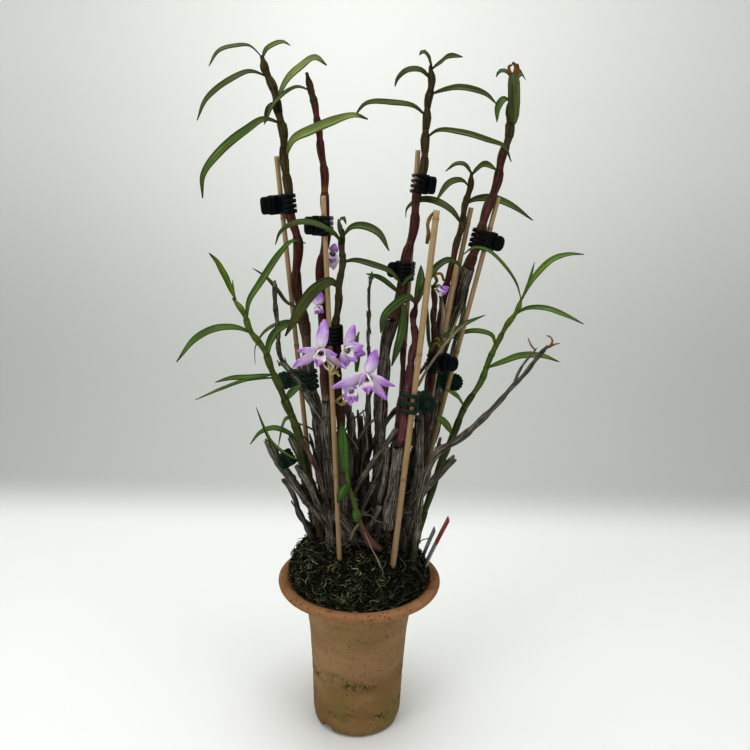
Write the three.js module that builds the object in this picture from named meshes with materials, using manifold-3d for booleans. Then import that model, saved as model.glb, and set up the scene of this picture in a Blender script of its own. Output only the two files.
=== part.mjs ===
// A dendrobium orchid in its terracotta pot: leafy canes, old canes, blooms, bamboo stakes,
// claw clips and labels. Millimetres, +Z up, the pot stands on z = 0.
import * as THREE from "three";
import { mergeVertices } from "three/addons/utils/BufferGeometryUtils.js";
import Module from "manifold-3d";

const wasm = await Module();
wasm.setup();

// ---- Driving dimensions ----
const GAP = 0.35; // between neighbouring pieces
const POT_SIDES = 24;
const POT_HEIGHT = 144.5;
const FLANGE_RADIUS = 75;
const FOOT_RADIUS = 35; // middle of the ring that the pot stands on
const FOOT_NOTCH = { width: 12, height: 5, length: 24, angles: [225, 345, 105] };
const MOSS_TOP = 178;
const MOSS_FLOOR = 62;
const MOSS_FALL = 0.16; // of the mound, towards the front and the right
const STAKE_RADIUS = 2.2;
const STAKE_DEPTH = 30; // below the moss
const CANE_SIDES = 5;
const BLADE_THICKNESS = 0.9;
const CLIP = {
  wall: 1.5,
  room: 0.6, // round the stems it holds
  pin: 0.85,
  knuckle: 2.1,
  arm: [50, -87], // degrees round the stems, from above the pin's side to the jaw's tip
  wingAngle: 28,
};
// A clip's height along the stems, and the length of its finger wings.
const SMALL_CLIP = { length: 16, wing: 8 };
const LARGE_CLIP = { length: 17, wing: 14 };

// ---- Colours ----
const TERRACOTTA = 0x9a5a35;
const MOSS_BROWN = 0x3b3320;
const BAMBOO = 0xc4a468;
const LEAF_GREEN = 0x6f8a3a;
const OLD_CANE = 0x8d8672;
const BLOOM = 0xc58fd0;
const CLIP_BLACK = 0x15161a;
const CLIP_GREEN = 0x1f3a2a;

// ---- The plant's data: points are [x, y, z] ----
// A stake runs straight from its foot in the moss to its top.
const STAKES = {
  stake_1: { foot: [-40, 14, 167], top: [-76, 14, 516] },
  stake_2: { foot: [-17, -30, 170], top: [-35, -12, 485] },
  stake_3: { foot: [29, 25, 167], top: [42, 21, 524] },
  stake_4: { foot: [30, -30, 170], top: [56, -29, 476] },
  stake_5: { foot: [43, 19, 168], top: [110, 10, 487] },
  stake_6: { foot: [39, 2, 178], top: [77, 2, 431] },
  stake_7: { foot: [38, 22, 168], top: [88, 13, 478] },
};

// A leaf leaves its cane at a height, and runs on through its own points to its tip.
// face is how far its blade is turned up towards the front, in degrees.
const leaf = (height, width, face, ...points) => ({ height, width, face, points });

// A cane: its route from the foot up, its radius at the foot, the middle and the tip, its
// number of internodes, and its leaves.
const CANES = {
  cane_1: {
    route: [[-19, 8, 162], [-34, 8, 252], [-47, 8, 331], [-53, 8, 378], [-59, 8, 418], [-58, 7, 450],
      [-64, 6, 472], [-66, 6, 490], [-69, 6, 524], [-72, 6, 548], [-79, 6, 572], [-87, 6, 593]],
    girth: [3.6, 4.1, 2.8],
    internodes: 12,
    leaves: [
      leaf(592, 4.5, 45, [-95, 2, 599], [-105, -6, 598], [-117, -15, 592], [-123, -22, 580]),
      leaf(590, 5.5, 50, [-82, 5, 598], [-75, 5, 602], [-69, 8, 604], [-64, 12, 602]),
      leaf(576, 6, 50, [-95, 1, 580], [-109, -7, 573], [-127, -15, 557], [-133, -23, 540]),
      leaf(558, 9, 65, [-65, 0, 574], [-52, -6, 585], [-42, -10, 590], [-33, -13, 584]),
      leaf(558, 5.5, 20, [-82, 16, 556], [-88, 28, 542]),
      leaf(541, 8.5, 55, [-84, 0, 544], [-97, -8, 535], [-118, -14, 517], [-130, -20, 499], [-130, -25, 481]),
      leaf(513, 10, 70, [-60, -3, 528], [-46, -11, 535], [-28, -17, 542], [-10, -20, 547], [0, -21, 544]),
      leaf(376, 6, 40, [-68, 12, 377], [-85, 18, 369], [-97, 24, 352], [-99, 32, 334]),
      leaf(390, 4, 50, [-67, 10, 394], [-76, 12, 405], [-86, 12, 416], [-97, 12, 423]),
    ],
  },
  cane_2: {
    route: [[-26, -8, 164], [-29, -7, 249], [-32, -6, 312], [-35, -5, 365], [-37, -4, 422],
      [-34, -4, 449], [-33, -4, 470], [-35, -3, 491], [-36, -3, 513], [-41, -3, 541],
      [-42, -3, 555], [-47, -2, 567], [-49, -2, 580]],
    girth: [3.5, 3.5, 2.1],
    internodes: 12,
    leaves: [
      leaf(566, 4.5, 50, [-56, -2, 569], [-63, -1, 567], [-69, -1, 563], [-77, -4, 553], [-82, -5, 541]),
    ],
  },
  cane_3: {
    route: [[16, 6, 162], [14, 8, 234], [17, 10, 281], [17, 10, 323], [19, 11, 353], [25, 11, 383],
      [31, 11, 407], [35, 12, 434], [40, 13, 462], [43, 13, 491], [48, 14, 523], [47, 14, 544],
      [50, 15, 569], [50, 16, 590]],
    girth: [4.1, 4, 2.2],
    internodes: 13,
    leaves: [
      leaf(588, 4.5, 50, [47, 13, 596], [43, 12, 600], [40, 11, 597]),
      leaf(586, 5, 60, [58, 9, 592], [64, 0, 595], [73, -9, 593]),
      leaf(579, 6, 60, [41, 12, 586], [30, 11, 585], [23, 12, 579], [21, 15, 573]),
      leaf(567, 6, 65, [59, 9, 570], [72, 1, 572], [92, -6, 567], [101, -14, 558]),
      leaf(550, 6, 60, [36, 11, 558], [19, 9, 560], [-2, 8, 559], [-12, 9, 548]),
      leaf(532, 6, 60, [57, 9, 539], [75, 4, 538], [97, -1, 532], [110, -5, 527], [116, -8, 515]),
    ],
  },
  cane_4: {
    route: [[27, 12, 162], [39, 11, 214], [49, 10, 263], [57, 9, 310], [62, 10, 356], [67, 9, 391],
      [71, 8, 421], [76, 8, 441], [79, 8, 459], [83, 8, 481], [85, 8, 494], [87, 8, 507]],
    girth: [3.5, 3.5, 1.9],
    internodes: 10,
    leaves: [
      leaf(505, 4.5, 55, [80, 8, 513], [73, 9, 513], [65, 13, 507]),
      leaf(503, 6.5, 65, [91, 1, 510], [96, -6, 513], [104, -13, 508]),
      leaf(494, 6, 55, [77, 1, 500], [66, -8, 497], [56, -17, 483]),
      leaf(481, 8.5, 60, [92, 16, 485], [105, 24, 486], [121, 30, 482], [145, 35, 468]),
      leaf(465, 7, 60, [71, 14, 476], [57, 21, 483], [44, 27, 483], [35, 32, 476], [34, 38, 468]),
    ],
  },
  cane_5: {
    route: [[48, 24, 162], [54, 26, 238], [62, 25, 298], [68, 25, 344], [74, 23, 373], [81, 18, 399],
      [89, 12, 429], [97, 8, 461], [106, 8, 493], [111, 8, 517], [115, 8, 538], [116, 8, 564],
      [116, 8, 581]],
    girth: [4.1, 4.4, 2.5],
    internodes: 13,
    leaves: [
      leaf(545, 11, 0, [116, 4, 557], [116, 4, 571], [115, 4, 583]),
      leaf(561, 6.5, 45, [109, 1, 564], [103, -6, 557], [102, -12, 545]),
      leaf(578, 5, 50, [110, 5, 585], [104, 4, 585], [102, 6, 581]),
      leaf(577, 7, 60, [122, 15, 586], [129, 25, 582]),
    ],
  },
  cane_6: {
    route: [[46, -13, 162], [62, -5, 228], [74, 0, 262], [86, 4, 295], [104, 7, 331],
      [110, 8, 346], [115, 9, 362], [124, 10, 378], [131, 11, 391], [136, 11, 403]],
    girth: [3.4, 3, 2],
    internodes: 9,
    leaves: [
      leaf(400, 5, 50, [129, 7, 415], [117, 1, 431], [101, -3, 444], [89, -8, 446], [80, -12, 440]),
      leaf(402, 6, 55, [143, 9, 419], [158, 9, 436], [172, 12, 441], [187, 16, 441]),
      leaf(401, 3, 60, [141, 15, 415], [146, 20, 433]),
      leaf(387, 5.5, 50, [139, 3, 395], [152, -6, 397], [167, -15, 393], [181, -24, 387]),
      leaf(360, 5.5, 50, [112, 12, 369], [101, 17, 372], [89, 21, 370], [77, 28, 362]),
      leaf(340, 7, 55, [119, -1, 348], [135, -8, 356], [150, -16, 358], [163, -25, 355]),
      leaf(304, 6.5, 60, [82, -7, 318], [70, -21, 328]),
      leaf(280, 10, 75, [71, -13, 296], [62, -27, 305]),
    ],
  },
  cane_7: {
    route: [[-31, 2, 162], [-43, -9, 230], [-51, -16, 265], [-60, -21, 303], [-68, -23, 321],
      [-75, -24, 340], [-80, -24, 354], [-92, -25, 373], [-97, -25, 385], [-107, -25, 402]],
    girth: [3.7, 3.5, 2],
    internodes: 9,
    leaves: [
      leaf(400, 8, 65, [-112, -27, 416], [-118, -33, 431], [-123, -39, 439]),
      leaf(398, 3, 60, [-108, -19, 407], [-110, -11, 415]),
      leaf(384, 6.5, 60, [-95, -21, 399], [-85, -17, 416], [-70, -12, 439], [-61, -7, 448], [-50, -2, 446]),
      leaf(373, 7, 55, [-105, -28, 378], [-120, -34, 378], [-136, -39, 370], [-150, -46, 352]),
      leaf(353, 7.5, 65, [-80, -16, 362], [-74, -10, 373], [-64, -4, 378], [-59, 0, 379]),
      leaf(338, 5.5, 50, [-92, -30, 337], [-109, -36, 337], [-120, -43, 335]),
      leaf(335, 4, 45, [-99, -17, 331], [-122, -10, 321], [-147, -1, 308]),
      leaf(315, 7, 60, [-60, -18, 322], [-51, -18, 329]),
      leaf(300, 6, 60, [-66, -14, 296], [-70, -10, 284], [-73, -9, 270]),
      leaf(278, 5.5, 50, [-64, -13, 284], [-76, -13, 288], [-88, -14, 284], [-97, -15, 273]),
      leaf(258, 3.5, 50, [-62, -18, 264], [-78, -18, 277], [-85, -17, 291], [-91, -16, 307]),
    ],
  },
  cane_8: {
    route: [[-12, -10, 162], [-16, -13, 242], [-20, -15, 314], [-23, -14, 363], [-23, -15, 389],
      [-20, -16, 418], [-19, -15, 438], [-19, -15, 459]],
    girth: [3.2, 3.4, 2],
    internodes: 10,
    leaves: [
      leaf(446, 6.5, 50, [-27, -26, 457], [-43, -30, 464], [-58, -29, 463], [-68, -28, 456], [-72, -28, 446]),
      leaf(451, 7.5, 60, [-11, -20, 461], [0, -26, 462], [11, -32, 457], [19, -38, 444]),
      leaf(451, 5, 20, [-21, -11, 459], [-23, -9, 467]),
      leaf(457, 4.5, 60, [-21, -16, 466], [-18, -17, 468], [-16, -19, 463]),
      leaf(432, 6, 60, [-8, -15, 434], [7, -18, 431], [21, -21, 426], [30, -25, 416]),
      leaf(410, 11, 75, [-28, -23, 417], [-39, -29, 412], [-49, -34, 400], [-63, -40, 374]),
    ],
  },
  cane_9: {
    route: [[22, -8, 162], [28, -19, 231], [34, -24, 279], [37, -26, 319], [39, -27, 344],
      [42, -27, 367], [41, -28, 386], [42, -28, 402]],
    girth: [4.6, 4.3, 2.3],
    internodes: 8,
    leaves: [
      leaf(400, 8.5, 65, [36, -33, 407], [24, -37, 400], [16, -41, 391], [14, -44, 379]),
      leaf(399, 8.5, 10, [45, -21, 411], [46, -17, 423], [46, -12, 431]),
      leaf(399, 6.5, 55, [49, -23, 415], [57, -19, 429], [68, -14, 436], [76, -10, 433], [84, -9, 420]),
    ],
  },
  cane_10: {
    route: [[40, -5, 162], [45, -3, 228], [52, -4, 268], [57, -5, 310], [59, -6, 354], [59, -6, 391],
      [57, -6, 414]],
    girth: [3.1, 3.4, 2.4],
    internodes: 8,
    leaves: [
      leaf(365, 4.5, 60, [72, 0, 372], [89, 7, 381], [105, 13, 387]),
      leaf(352, 4, 10, [55, -13, 366], [53, -17, 385], [52, -20, 401]),
    ],
  },
  cane_11: {
    route: [[12, -8, 162], [22, -9, 222], [30, -10, 288], [34, -10, 328], [34, -10, 355],
      [30, -10, 385], [29, -10, 401], [30, -10, 413]],
    girth: [3, 2.4, 2],
    internodes: 8,
    leaves: [
      leaf(406, 6, 60, [20, -15, 415], [11, -18, 421], [1, -23, 424]),
      leaf(411, 6, 60, [35, -16, 419], [41, -21, 425]),
      leaf(399, 9, 10, [33, -15, 395], [32, -18, 376], [24, -21, 347]),
    ],
  },
};

// Old leafless canes. Those of one group grew from one foot. Each stem is its radius at the
// foot and at the tip, and its route.
const stem = (thick, thin, ...route) => ({ thick, thin, route });
const OLD_CANES = {
  old_cane_tall: [
    stem(3, 2, [-18, -5, 160], [-20, -4, 190], [-26, -1, 223], [-29, 0, 265], [-36, -1, 290],
      [-53, -4, 323], [-71, 1, 346], [-74, 1, 370], [-77, 2, 397], [-76, 2, 414]),
  ],
  old_canes_left: [
    stem(2.6, 1.8, [-37, 9, 160], [-39, 9, 195], [-50, 8, 217], [-63, 8, 234], [-76, 6, 255],
      [-85, 4, 271]),
    stem(2.2, 1.2, [-38, 8, 160], [-42, 4, 174], [-51, 0, 195], [-58, -2, 210], [-62, -4, 229],
      [-70, -6, 238]),
  ],
  old_cane_back_left: [stem(2.4, 1.8, [-40, 24, 160], [-55, 27, 230], [-64, 30, 265])],
  old_canes_front: [
    stem(2.4, 1.8, [-23, -26, 158], [-24, -21, 180], [-35, -21, 244], [-52, -22, 283]),
    stem(2.4, 1.8, [-23, -26, 158], [-27, -27, 180], [-41, -27, 233], [-55, -28, 259]),
    stem(1.8, 1.2, [-23, -27, 158], [-27, -33, 178], [-37, -33, 211], [-51, -35, 232]),
  ],
  old_canes_middle: [
    stem(2.3, 1.8, [-3, 3, 156], [-7, 2, 180], [-8, 6, 234], [-11, 9, 285], [-14, 10, 308]),
    stem(2.3, 1.6, [-3, 3, 156], [3, -1, 180], [3, 2, 236], [4, 5, 286], [5, 8, 328]),
    stem(2.3, 1.8, [-4, 4, 156], [-8, 9, 180], [-6, 19, 219], [7, 31, 252], [20, 35, 280], [34, 36, 297]),
  ],
  old_canes_fork: [
    stem(2.2, 1.2, [8, 16, 158], [5, 18, 180], [5, 22, 258], [5, 24, 337], [3, 27, 396], [6, 28, 421]),
    stem(2.3, 1.8, [8, 16, 158], [12, 14, 180], [14, 16, 211], [14, 19, 267], [11, 21, 317]),
  ],
  old_canes_right: [
    stem(2.4, 1.8, [36, -17, 158], [39, -21, 180], [49, -22, 226], [61, -24, 247], [80, -26, 271]),
    stem(2.4, 1.8, [36, -17, 158], [38, -13, 180], [47, -13, 227], [48, -14, 265], [50, -14, 303]),
  ],
  old_cane_branch: [
    stem(2.8, 2, [50, -26, 154], [52, -32, 233], [57, -35, 262], [65, -37, 277], [80, -38, 289],
      [99, -39, 307], [113, -40, 323], [123, -41, 338], [134, -42, 351], [149, -43, 372]),
    stem(1.3, 0.9, [123, -41, 338], [131, -40, 355], [140, -39, 369]),
  ],
  old_canes_back: [
    stem(2.6, 1.8, [45, 34, 156], [50, 36, 185], [59, 41, 224], [67, 44, 264], [74, 44, 305],
      [82, 41, 352], [95, 35, 426]),
    stem(2.4, 2, [45, 34, 156], [48, 35, 185], [55, 37, 219], [62, 39, 264], [66, 41, 305],
      [70, 40, 376], [69, 38, 399]),
    stem(1.1, 0.9, [50, 41, 325], [69, 40, 350], [92, 37, 379]),
  ],
};

// The young plant in the middle: a stem on a dry stump, leaves and roots.
const KEIKI = {
  stem: stem(2.2, 1.6, [18, -17, 178], [9, -23, 189], [1, -30, 207], [-4, -33, 225],
    [-9, -34, 241], [-12, -34, 257]),
  root: stem(1.1, 0.8, [3, -29, 203], [11, -35, 187], [17, -38, 176], [20, -38, 164]),
  holdfast: stem(1.1, 1.1, [0, -31, 210], [-5, -33, 203], [-8, -33, 194]),
  stump: stem(2.8, 2, [-2, -33, 156], [-7, -33, 193], [-13, -34, 204], [-19, -36, 213]),
  leaves: [
    leaf(254, 10.5, 0, [-14, -36, 268], [-15, -37, 282], [-17, -38, 303]),
    leaf(248, 6, 0, [-13, -33, 262], [-15, -32, 276]),
    leaf(246, 11, 10, [-11, -39, 246], [-15, -41, 240], [-19, -42, 232]),
    leaf(224, 9, 10, [-3, -37, 219], [-2, -38, 212]),
  ],
};

// A bloom: its throat, the tips of its sepals and petals, its lip's tip, and its stalk, which
// ends in the cane that it grows from.
const BLOOMS = {
  bloom_1: {
    throat: [-35, -31, 361],
    tips: [[-32, -30, 387], [-54, -35, 361], [-21, -37, 359], [-14, -31, 346], [-58, -31, 346]],
    width: 7.5,
    lip: [-37, -39, 349],
    stalk: [[-28, -28, 349], [-21, -26, 340], [-21, -15, 337]],
    from: "cane_8",
  },
  bloom_2: {
    throat: [-14, -24, 361],
    tips: [[-8, -24, 382], [0, -30, 366], [2, -18, 356], [-5, -25, 351], [-15, -25, 346]],
    width: 7,
    lip: [-3, -26, 360],
    stalk: [[-19, -23, 354], [-22, -22, 348], [-22, -15, 346]],
    from: "cane_8",
  },
  bloom_3: {
    throat: [4, -28, 340],
    tips: [[11, -26, 362], [-26, -33, 330], [27, -31, 332], [20, -26, 319], [-3, -35, 333]],
    width: 8,
    lip: [5, -37, 326],
    stalk: [[4, -22, 337], [-8, -18, 329], [-21, -15, 326]],
    from: "cane_8",
  },
  bloom_4: {
    throat: [-30, 8, 434],
    tips: [[-31, 8, 446], [-40, 7, 440], [-21, 7, 441], [-23, 8, 424], [-38, 8, 424]],
    width: 6,
    lip: [-30, 4, 427],
    stalk: [[-32, 10, 430], [-35, 5, 424], [-37, -4, 421]],
    from: "cane_2",
  },
  bloom_5: {
    throat: [-38, -14, 395],
    tips: [[-42, -15, 406], [-36, -15, 407], [-34, -16, 390], [-41, -16, 389]],
    width: 5,
    lip: [-37, -19, 390],
    stalk: [[-38, -11, 392], [-37, -7, 389], [-36, -5, 388]],
    from: "cane_2",
  },
  bloom_6: {
    throat: [-10, -24, 325],
    tips: [[-16, -25, 332], [-8, -25, 333], [-4, -26, 317], [-10, -27, 314], [-15, -26, 318]],
    width: 6,
    lip: [-8, -30, 319],
    stalk: [[-14, -22, 319], [-18, -19, 312], [-20, -15, 310]],
    from: "cane_8",
  },
  bloom_7: {
    throat: [62, -11, 412],
    tips: [[70, -12, 413], [69, -15, 411], [69, -8, 411]],
    width: 5,
    lip: [68, -12, 408],
    stalk: [[60, -9, 411], [58, -6, 409]],
    from: "cane_10",
  },
};

// A claw clip holds two stems together at a height. wing is the compass way that its finger
// wings point, in degrees from +X, and its moving jaw is to the left of them, or to the right.
const LEFT = 1;
const RIGHT = -1;
const clip = (kind, height, wing, side, ...held) => ({ ...kind, height, wing, side, held });
const BLACK = { colour: CLIP_BLACK, size: SMALL_CLIP };
const GREEN = { colour: CLIP_GREEN, size: LARGE_CLIP };
const CLIPS = {
  clip_1: clip(BLACK, 478, 160, LEFT, "cane_1", "stake_1"),
  clip_2: clip(BLACK, 461, 150, LEFT, "cane_2", "stake_2"),
  clip_3: clip(BLACK, 497, 20, RIGHT, "cane_3", "stake_3"),
  clip_4: clip(BLACK, 452, 30, LEFT, "cane_5", "stake_5"),
  clip_5: clip(BLACK, 371, 90, LEFT, "cane_8", "stake_2"),
  clip_6: clip(BLACK, 423, 160, RIGHT, "cane_3", "stake_3"),
  clip_7: clip(BLACK, 347, 28, LEFT, "cane_10", "stake_6"),
  clip_8: clip(GREEN, 327, 150, LEFT, "cane_1", "stake_1"),
  clip_9: clip(GREEN, 318, 20, LEFT, "cane_9", "stake_4"),
  clip_10: clip(GREEN, 326, 20, RIGHT, "cane_5", "stake_7"),
};

// Labels: the middle of the foot and of the top, and the width along Y.
const LABELS = {
  label_grey: { foot: [57, 10, 152], top: [69, 10, 187], width: 12, colour: 0x8d8f92 },
  label_red: { foot: [58, -3, 150], top: [80, -3, 203], width: 12, colour: 0xa23a32 },
};

// ---- Solids ----
const vec = (p) => new THREE.Vector3(...p);
const UP = new THREE.Vector3(0, 0, 1);
const FRONT = new THREE.Vector3(0, -1, 0);
const rad = THREE.MathUtils.degToRad;

// A closed surface as a solid, with its faces turned out.
function solid(positions, index) {
  const triVerts = [];
  for (let i = 0; i < index.length; i += 3) {
    const [a, b, c] = [index[i], index[i + 1], index[i + 2]];
    if (a !== b && b !== c && c !== a) triVerts.push(a, b, c);
  }
  const make = (tris) =>
    new wasm.Manifold(
      new wasm.Mesh({
        numProp: 3,
        vertProperties: new Float32Array(positions),
        triVerts: new Uint32Array(tris),
      }),
    );
  const made = make(triVerts);
  return made.volume() < 0 ? make(triVerts.reverse()) : made;
}

function solidOf(geometry, matrix) {
  const bare = geometry.clone();
  bare.deleteAttribute("normal");
  bare.deleteAttribute("uv");
  if (matrix) bare.applyMatrix4(matrix);
  const merged = mergeVertices(bare, 1e-4);
  return solid(merged.attributes.position.array, merged.index.array);
}

// A skin over rings of points, closed at both ends.
function loft(rings) {
  const sides = rings[0].length;
  const positions = rings.flat().flatMap((p) => [p.x, p.y, p.z]);
  const index = [];
  for (let i = 0; i + 1 < rings.length; i++)
    for (let j = 0; j < sides; j++) {
      const a = i * sides + j;
      const b = i * sides + ((j + 1) % sides);
      index.push(a, b, b + sides, a, b + sides, a + sides);
    }
  const last = (rings.length - 1) * sides;
  for (let j = 1; j + 1 < sides; j++) {
    index.push(0, j + 1, j);
    index.push(last, last + j, last + j + 1);
  }
  return solid(positions, index);
}

const fuse = (solids) => solids.reduce((a, b) => a.add(b));

function meshOf(name, body, colour, roughness = 0.6, metalness = 0) {
  const made = body.getMesh();
  const geometry = new THREE.BufferGeometry();
  geometry.setAttribute("position", new THREE.BufferAttribute(new Float32Array(made.vertProperties), 3));
  geometry.setIndex(new THREE.BufferAttribute(new Uint32Array(made.triVerts), 1));
  geometry.computeVertexNormals();
  const material = new THREE.MeshStandardMaterial({ color: colour, roughness, metalness });
  const mesh = new THREE.Mesh(geometry, material);
  mesh.name = name;
  return mesh;
}

const curveThrough = (points) => new THREE.CatmullRomCurve3(points.map(vec), false, "centripetal");

// A round stem on a curve. radiusAt gives its radius from 0 at the foot to 1 at the tip.
function tube(points, rings, sides, radiusAt, spare = 0) {
  const curve = curveThrough(points);
  const frames = curve.computeFrenetFrames(rings, false);
  const skin = [];
  for (let i = 0; i <= rings; i++) {
    const centre = curve.getPointAt(i / rings);
    const radius = radiusAt(i / rings, i) + spare;
    skin.push(
      Array.from({ length: sides }, (_, j) => {
        const turn = (2 * Math.PI * j) / sides;
        return centre
          .clone()
          .addScaledVector(frames.normals[i], radius * Math.cos(turn))
          .addScaledVector(frames.binormals[i], radius * Math.sin(turn));
      }),
    );
  }
  return loft(skin);
}

const mix = (a, b, t) => a + (b - a) * t;
const girthAt = ([foot, middle, tip], t) =>
  t < 0.5 ? mix(foot, middle, 2 * t) : mix(middle, tip, 2 * t - 1);

// A cane swells at every node and is slimmer between them.
const NODE_SWELL = [1.08, 0.92];
function caneSolid({ route, girth, internodes }, spare = 0) {
  const radiusAt = (t, i) => girthAt(girth, t) * NODE_SWELL[i % 2];
  return tube(route, 2 * internodes, CANE_SIDES, radiusAt, spare);
}

const OLD_INTERNODE = 42; // mm
const OLD_SIDES = 5;
function oldStem({ thick, thin, route }, spare = 0) {
  const rings = Math.max(2, 2 * Math.round(curveThrough(route).getLength() / OLD_INTERNODE));
  const radiusAt = (t, i) => mix(thick, thin, t) * NODE_SWELL[i % 2];
  return tube(route, rings, OLD_SIDES, radiusAt, spare);
}

// The point, direction and radius of a stem at a height.
const HEIGHT_STEPS = 400;
function stemAt(route, height) {
  const curve = curveThrough(route);
  let best = 0;
  for (let i = 0; i <= HEIGHT_STEPS; i++) {
    const miss = Math.abs(curve.getPointAt(i / HEIGHT_STEPS).z - height);
    if (miss < Math.abs(curve.getPointAt(best).z - height)) best = i / HEIGHT_STEPS;
  }
  return { centre: curve.getPointAt(best), along: curve.getTangentAt(best), t: best };
}

// A strap leaf: a thin keeled blade on a curve, with its width along the whole length.
const BLADE_SHAPE = [[0, 0.42], [0.14, 0.8], [0.4, 1], [0.68, 0.9], [0.88, 0.55], [1, 0.12]];
const LEAF_STEP = 22; // mm between its sections
function bladeWidth(t) {
  const i = BLADE_SHAPE.findIndex(([at]) => at >= t);
  if (i < 1) return BLADE_SHAPE[0][1];
  const [t0, w0] = BLADE_SHAPE[i - 1];
  const [t1, w1] = BLADE_SHAPE[i];
  return mix(w0, w1, (t - t0) / (t1 - t0));
}
function blade(points, width, face, keel = 0.18, facing = null) {
  const curve = curveThrough(points);
  const chord = vec(points.at(-1)).sub(vec(points[0]));
  const side = chord.clone().cross(UP);
  if (side.length() < 0.2 * chord.length()) side.set(1, 0, 0);
  side.normalize();
  const steps = facing ? 2 : Math.max(3, Math.round(curve.getLength() / LEAF_STEP) + 1);
  const skin = [];
  for (let i = 0; i <= steps; i++) {
    const t = i / steps;
    const centre = curve.getPointAt(t);
    const along = curve.getTangentAt(t);
    const flat = (facing ? facing.clone().cross(along) : side.clone());
    flat.addScaledVector(along, -flat.dot(along)).normalize();
    const up = flat.clone().cross(along).normalize();
    if (!facing) {
      const turned = flat.dot(FRONT) > 0 ? rad(face) : -rad(face);
      const across = flat.clone();
      flat.multiplyScalar(Math.cos(turned)).addScaledVector(up, -Math.sin(turned));
      up.multiplyScalar(Math.cos(turned)).addScaledVector(across, Math.sin(turned));
    }
    const half = (width / 2) * bladeWidth(t);
    const rise = keel * half;
    skin.push([
      centre.clone().addScaledVector(flat, half).addScaledVector(up, rise),
      centre.clone().addScaledVector(up, BLADE_THICKNESS / 2),
      centre.clone().addScaledVector(flat, -half).addScaledVector(up, rise),
      centre.clone().addScaledVector(up, -BLADE_THICKNESS / 2),
    ]);
  }
  return loft(skin);
}

const leafOn = (route, { height, width, face, points }) => {
  const { centre } = stemAt(route, height);
  return blade([centre.toArray(), ...points], width, face);
};

// ---- Pot ----
function pot() {
  const profile = [
    [8, 3], [30, 3], [31.5, 0], [36, 0], [40, 2], [41.5, 10], [43.3, 60], [45.6, 95], [48.6, 115],
    [51.5, 127], [57, 133], [73, 137], [FLANGE_RADIUS, 141], [73.5, POT_HEIGHT],
    [68, POT_HEIGHT], [62.5, 142], [52, 136.5], [44, 129], [41, 115], [37, 14], [33, 9], [8, 9], [8, 3],
  ];
  const lathe = new THREE.LatheGeometry(profile.map(([r, z]) => new THREE.Vector2(r, z)), POT_SIDES);
  let body = solidOf(lathe, new THREE.Matrix4().makeRotationX(Math.PI / 2));
  for (const angle of FOOT_NOTCH.angles) {
    const notch = new THREE.BoxGeometry(FOOT_NOTCH.length, FOOT_NOTCH.width, 2 * FOOT_NOTCH.height)
      .translate(FOOT_RADIUS, 0, 0)
      .rotateZ(rad(angle));
    body = body.subtract(solidOf(notch));
  }
  return body;
}

// ---- Moss ----
const MOSS_SIDES = 20;
// The mound falls towards the front and the right, with lumps all over.
function mossLift(x, y, z) {
  if (z < 144) return 0;
  const share = Math.min(1, (z - 144) / 20);
  const fall = MOSS_FALL * (Math.max(0, -y - 5) + Math.max(0, x - 15));
  const lumps = 1.6 * Math.sin(0.19 * x + 1) * Math.cos(0.23 * y) + 1.1 * Math.sin(0.41 * x + 0.33 * y);
  return share * (lumps - fall);
}
function moss(holes) {
  const profile = [
    [0, MOSS_FLOOR], [37.6, MOSS_FLOOR], [40.2, 115], [43.2, 129.6], [51.4, 137.2],
    [61.5, 142.6], [62.4, 150], [60, 162], [54, 170], [42, 174.5], [24, 177], [0, MOSS_TOP],
  ];
  const lathe = new THREE.LatheGeometry(profile.map(([r, z]) => new THREE.Vector2(r, z)), MOSS_SIDES);
  lathe.rotateX(Math.PI / 2);
  const at = lathe.attributes.position;
  for (let i = 0; i < at.count; i++) {
    const [x, y, z] = [at.getX(i), at.getY(i), at.getZ(i)];
    at.setZ(i, z + mossLift(x, y, z));
  }
  return holes.reduce((body, hole) => body.subtract(hole), solidOf(lathe));
}

// ---- Bamboo stakes ----
const STAKE_SIDES = 6;
const STAKE_NODE = { every: 110, ridge: 0.3, half: 1.8 };
function stakeFoot({ foot, top }) {
  const along = vec(foot).sub(vec(top)).normalize();
  return vec(foot).addScaledVector(along, STAKE_DEPTH);
}
function stakeSolid(ends, spare = 0) {
  const foot = stakeFoot(ends);
  const length = foot.distanceTo(vec(ends.top));
  const radius = STAKE_RADIUS + spare;
  const profile = [[0, -spare], [radius, -spare]];
  const { every, half, ridge } = STAKE_NODE;
  for (let z = every; z < length - 10; z += every)
    profile.push([radius, z - half], [radius + ridge, z], [radius, z + half]);
  profile.push([radius, length], [0, length]);
  const lathe = new THREE.LatheGeometry(profile.map(([r, z]) => new THREE.Vector2(r, z)), STAKE_SIDES);
  const turn = new THREE.Quaternion().setFromUnitVectors(
    new THREE.Vector3(0, 1, 0), vec(ends.top).sub(foot).normalize());
  return solidOf(lathe, new THREE.Matrix4().compose(foot, turn, new THREE.Vector3(1, 1, 1)));
}

// A plain straight hole with room round a stem that stands in it.
const HOLE_SIDES = 4;
const HOLE_RISE = 8; // how far it is cut on above the moss
function drill(foot, through, radius) {
  const along = vec(through).sub(vec(foot)).normalize();
  const length = vec(foot).distanceTo(vec(through)) + HOLE_RISE;
  const bore = new THREE.CylinderGeometry(1, 1, length, HOLE_SIDES);
  const wide = (radius + 0.2) / Math.cos(Math.PI / HOLE_SIDES) + GAP;
  const middle = vec(foot).addScaledVector(along, length / 2 - GAP);
  const turn = new THREE.Quaternion().setFromUnitVectors(new THREE.Vector3(0, 1, 0), along);
  return solidOf(bore, new THREE.Matrix4().compose(middle, turn, new THREE.Vector3(wide, 1, wide)));
}

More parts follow.
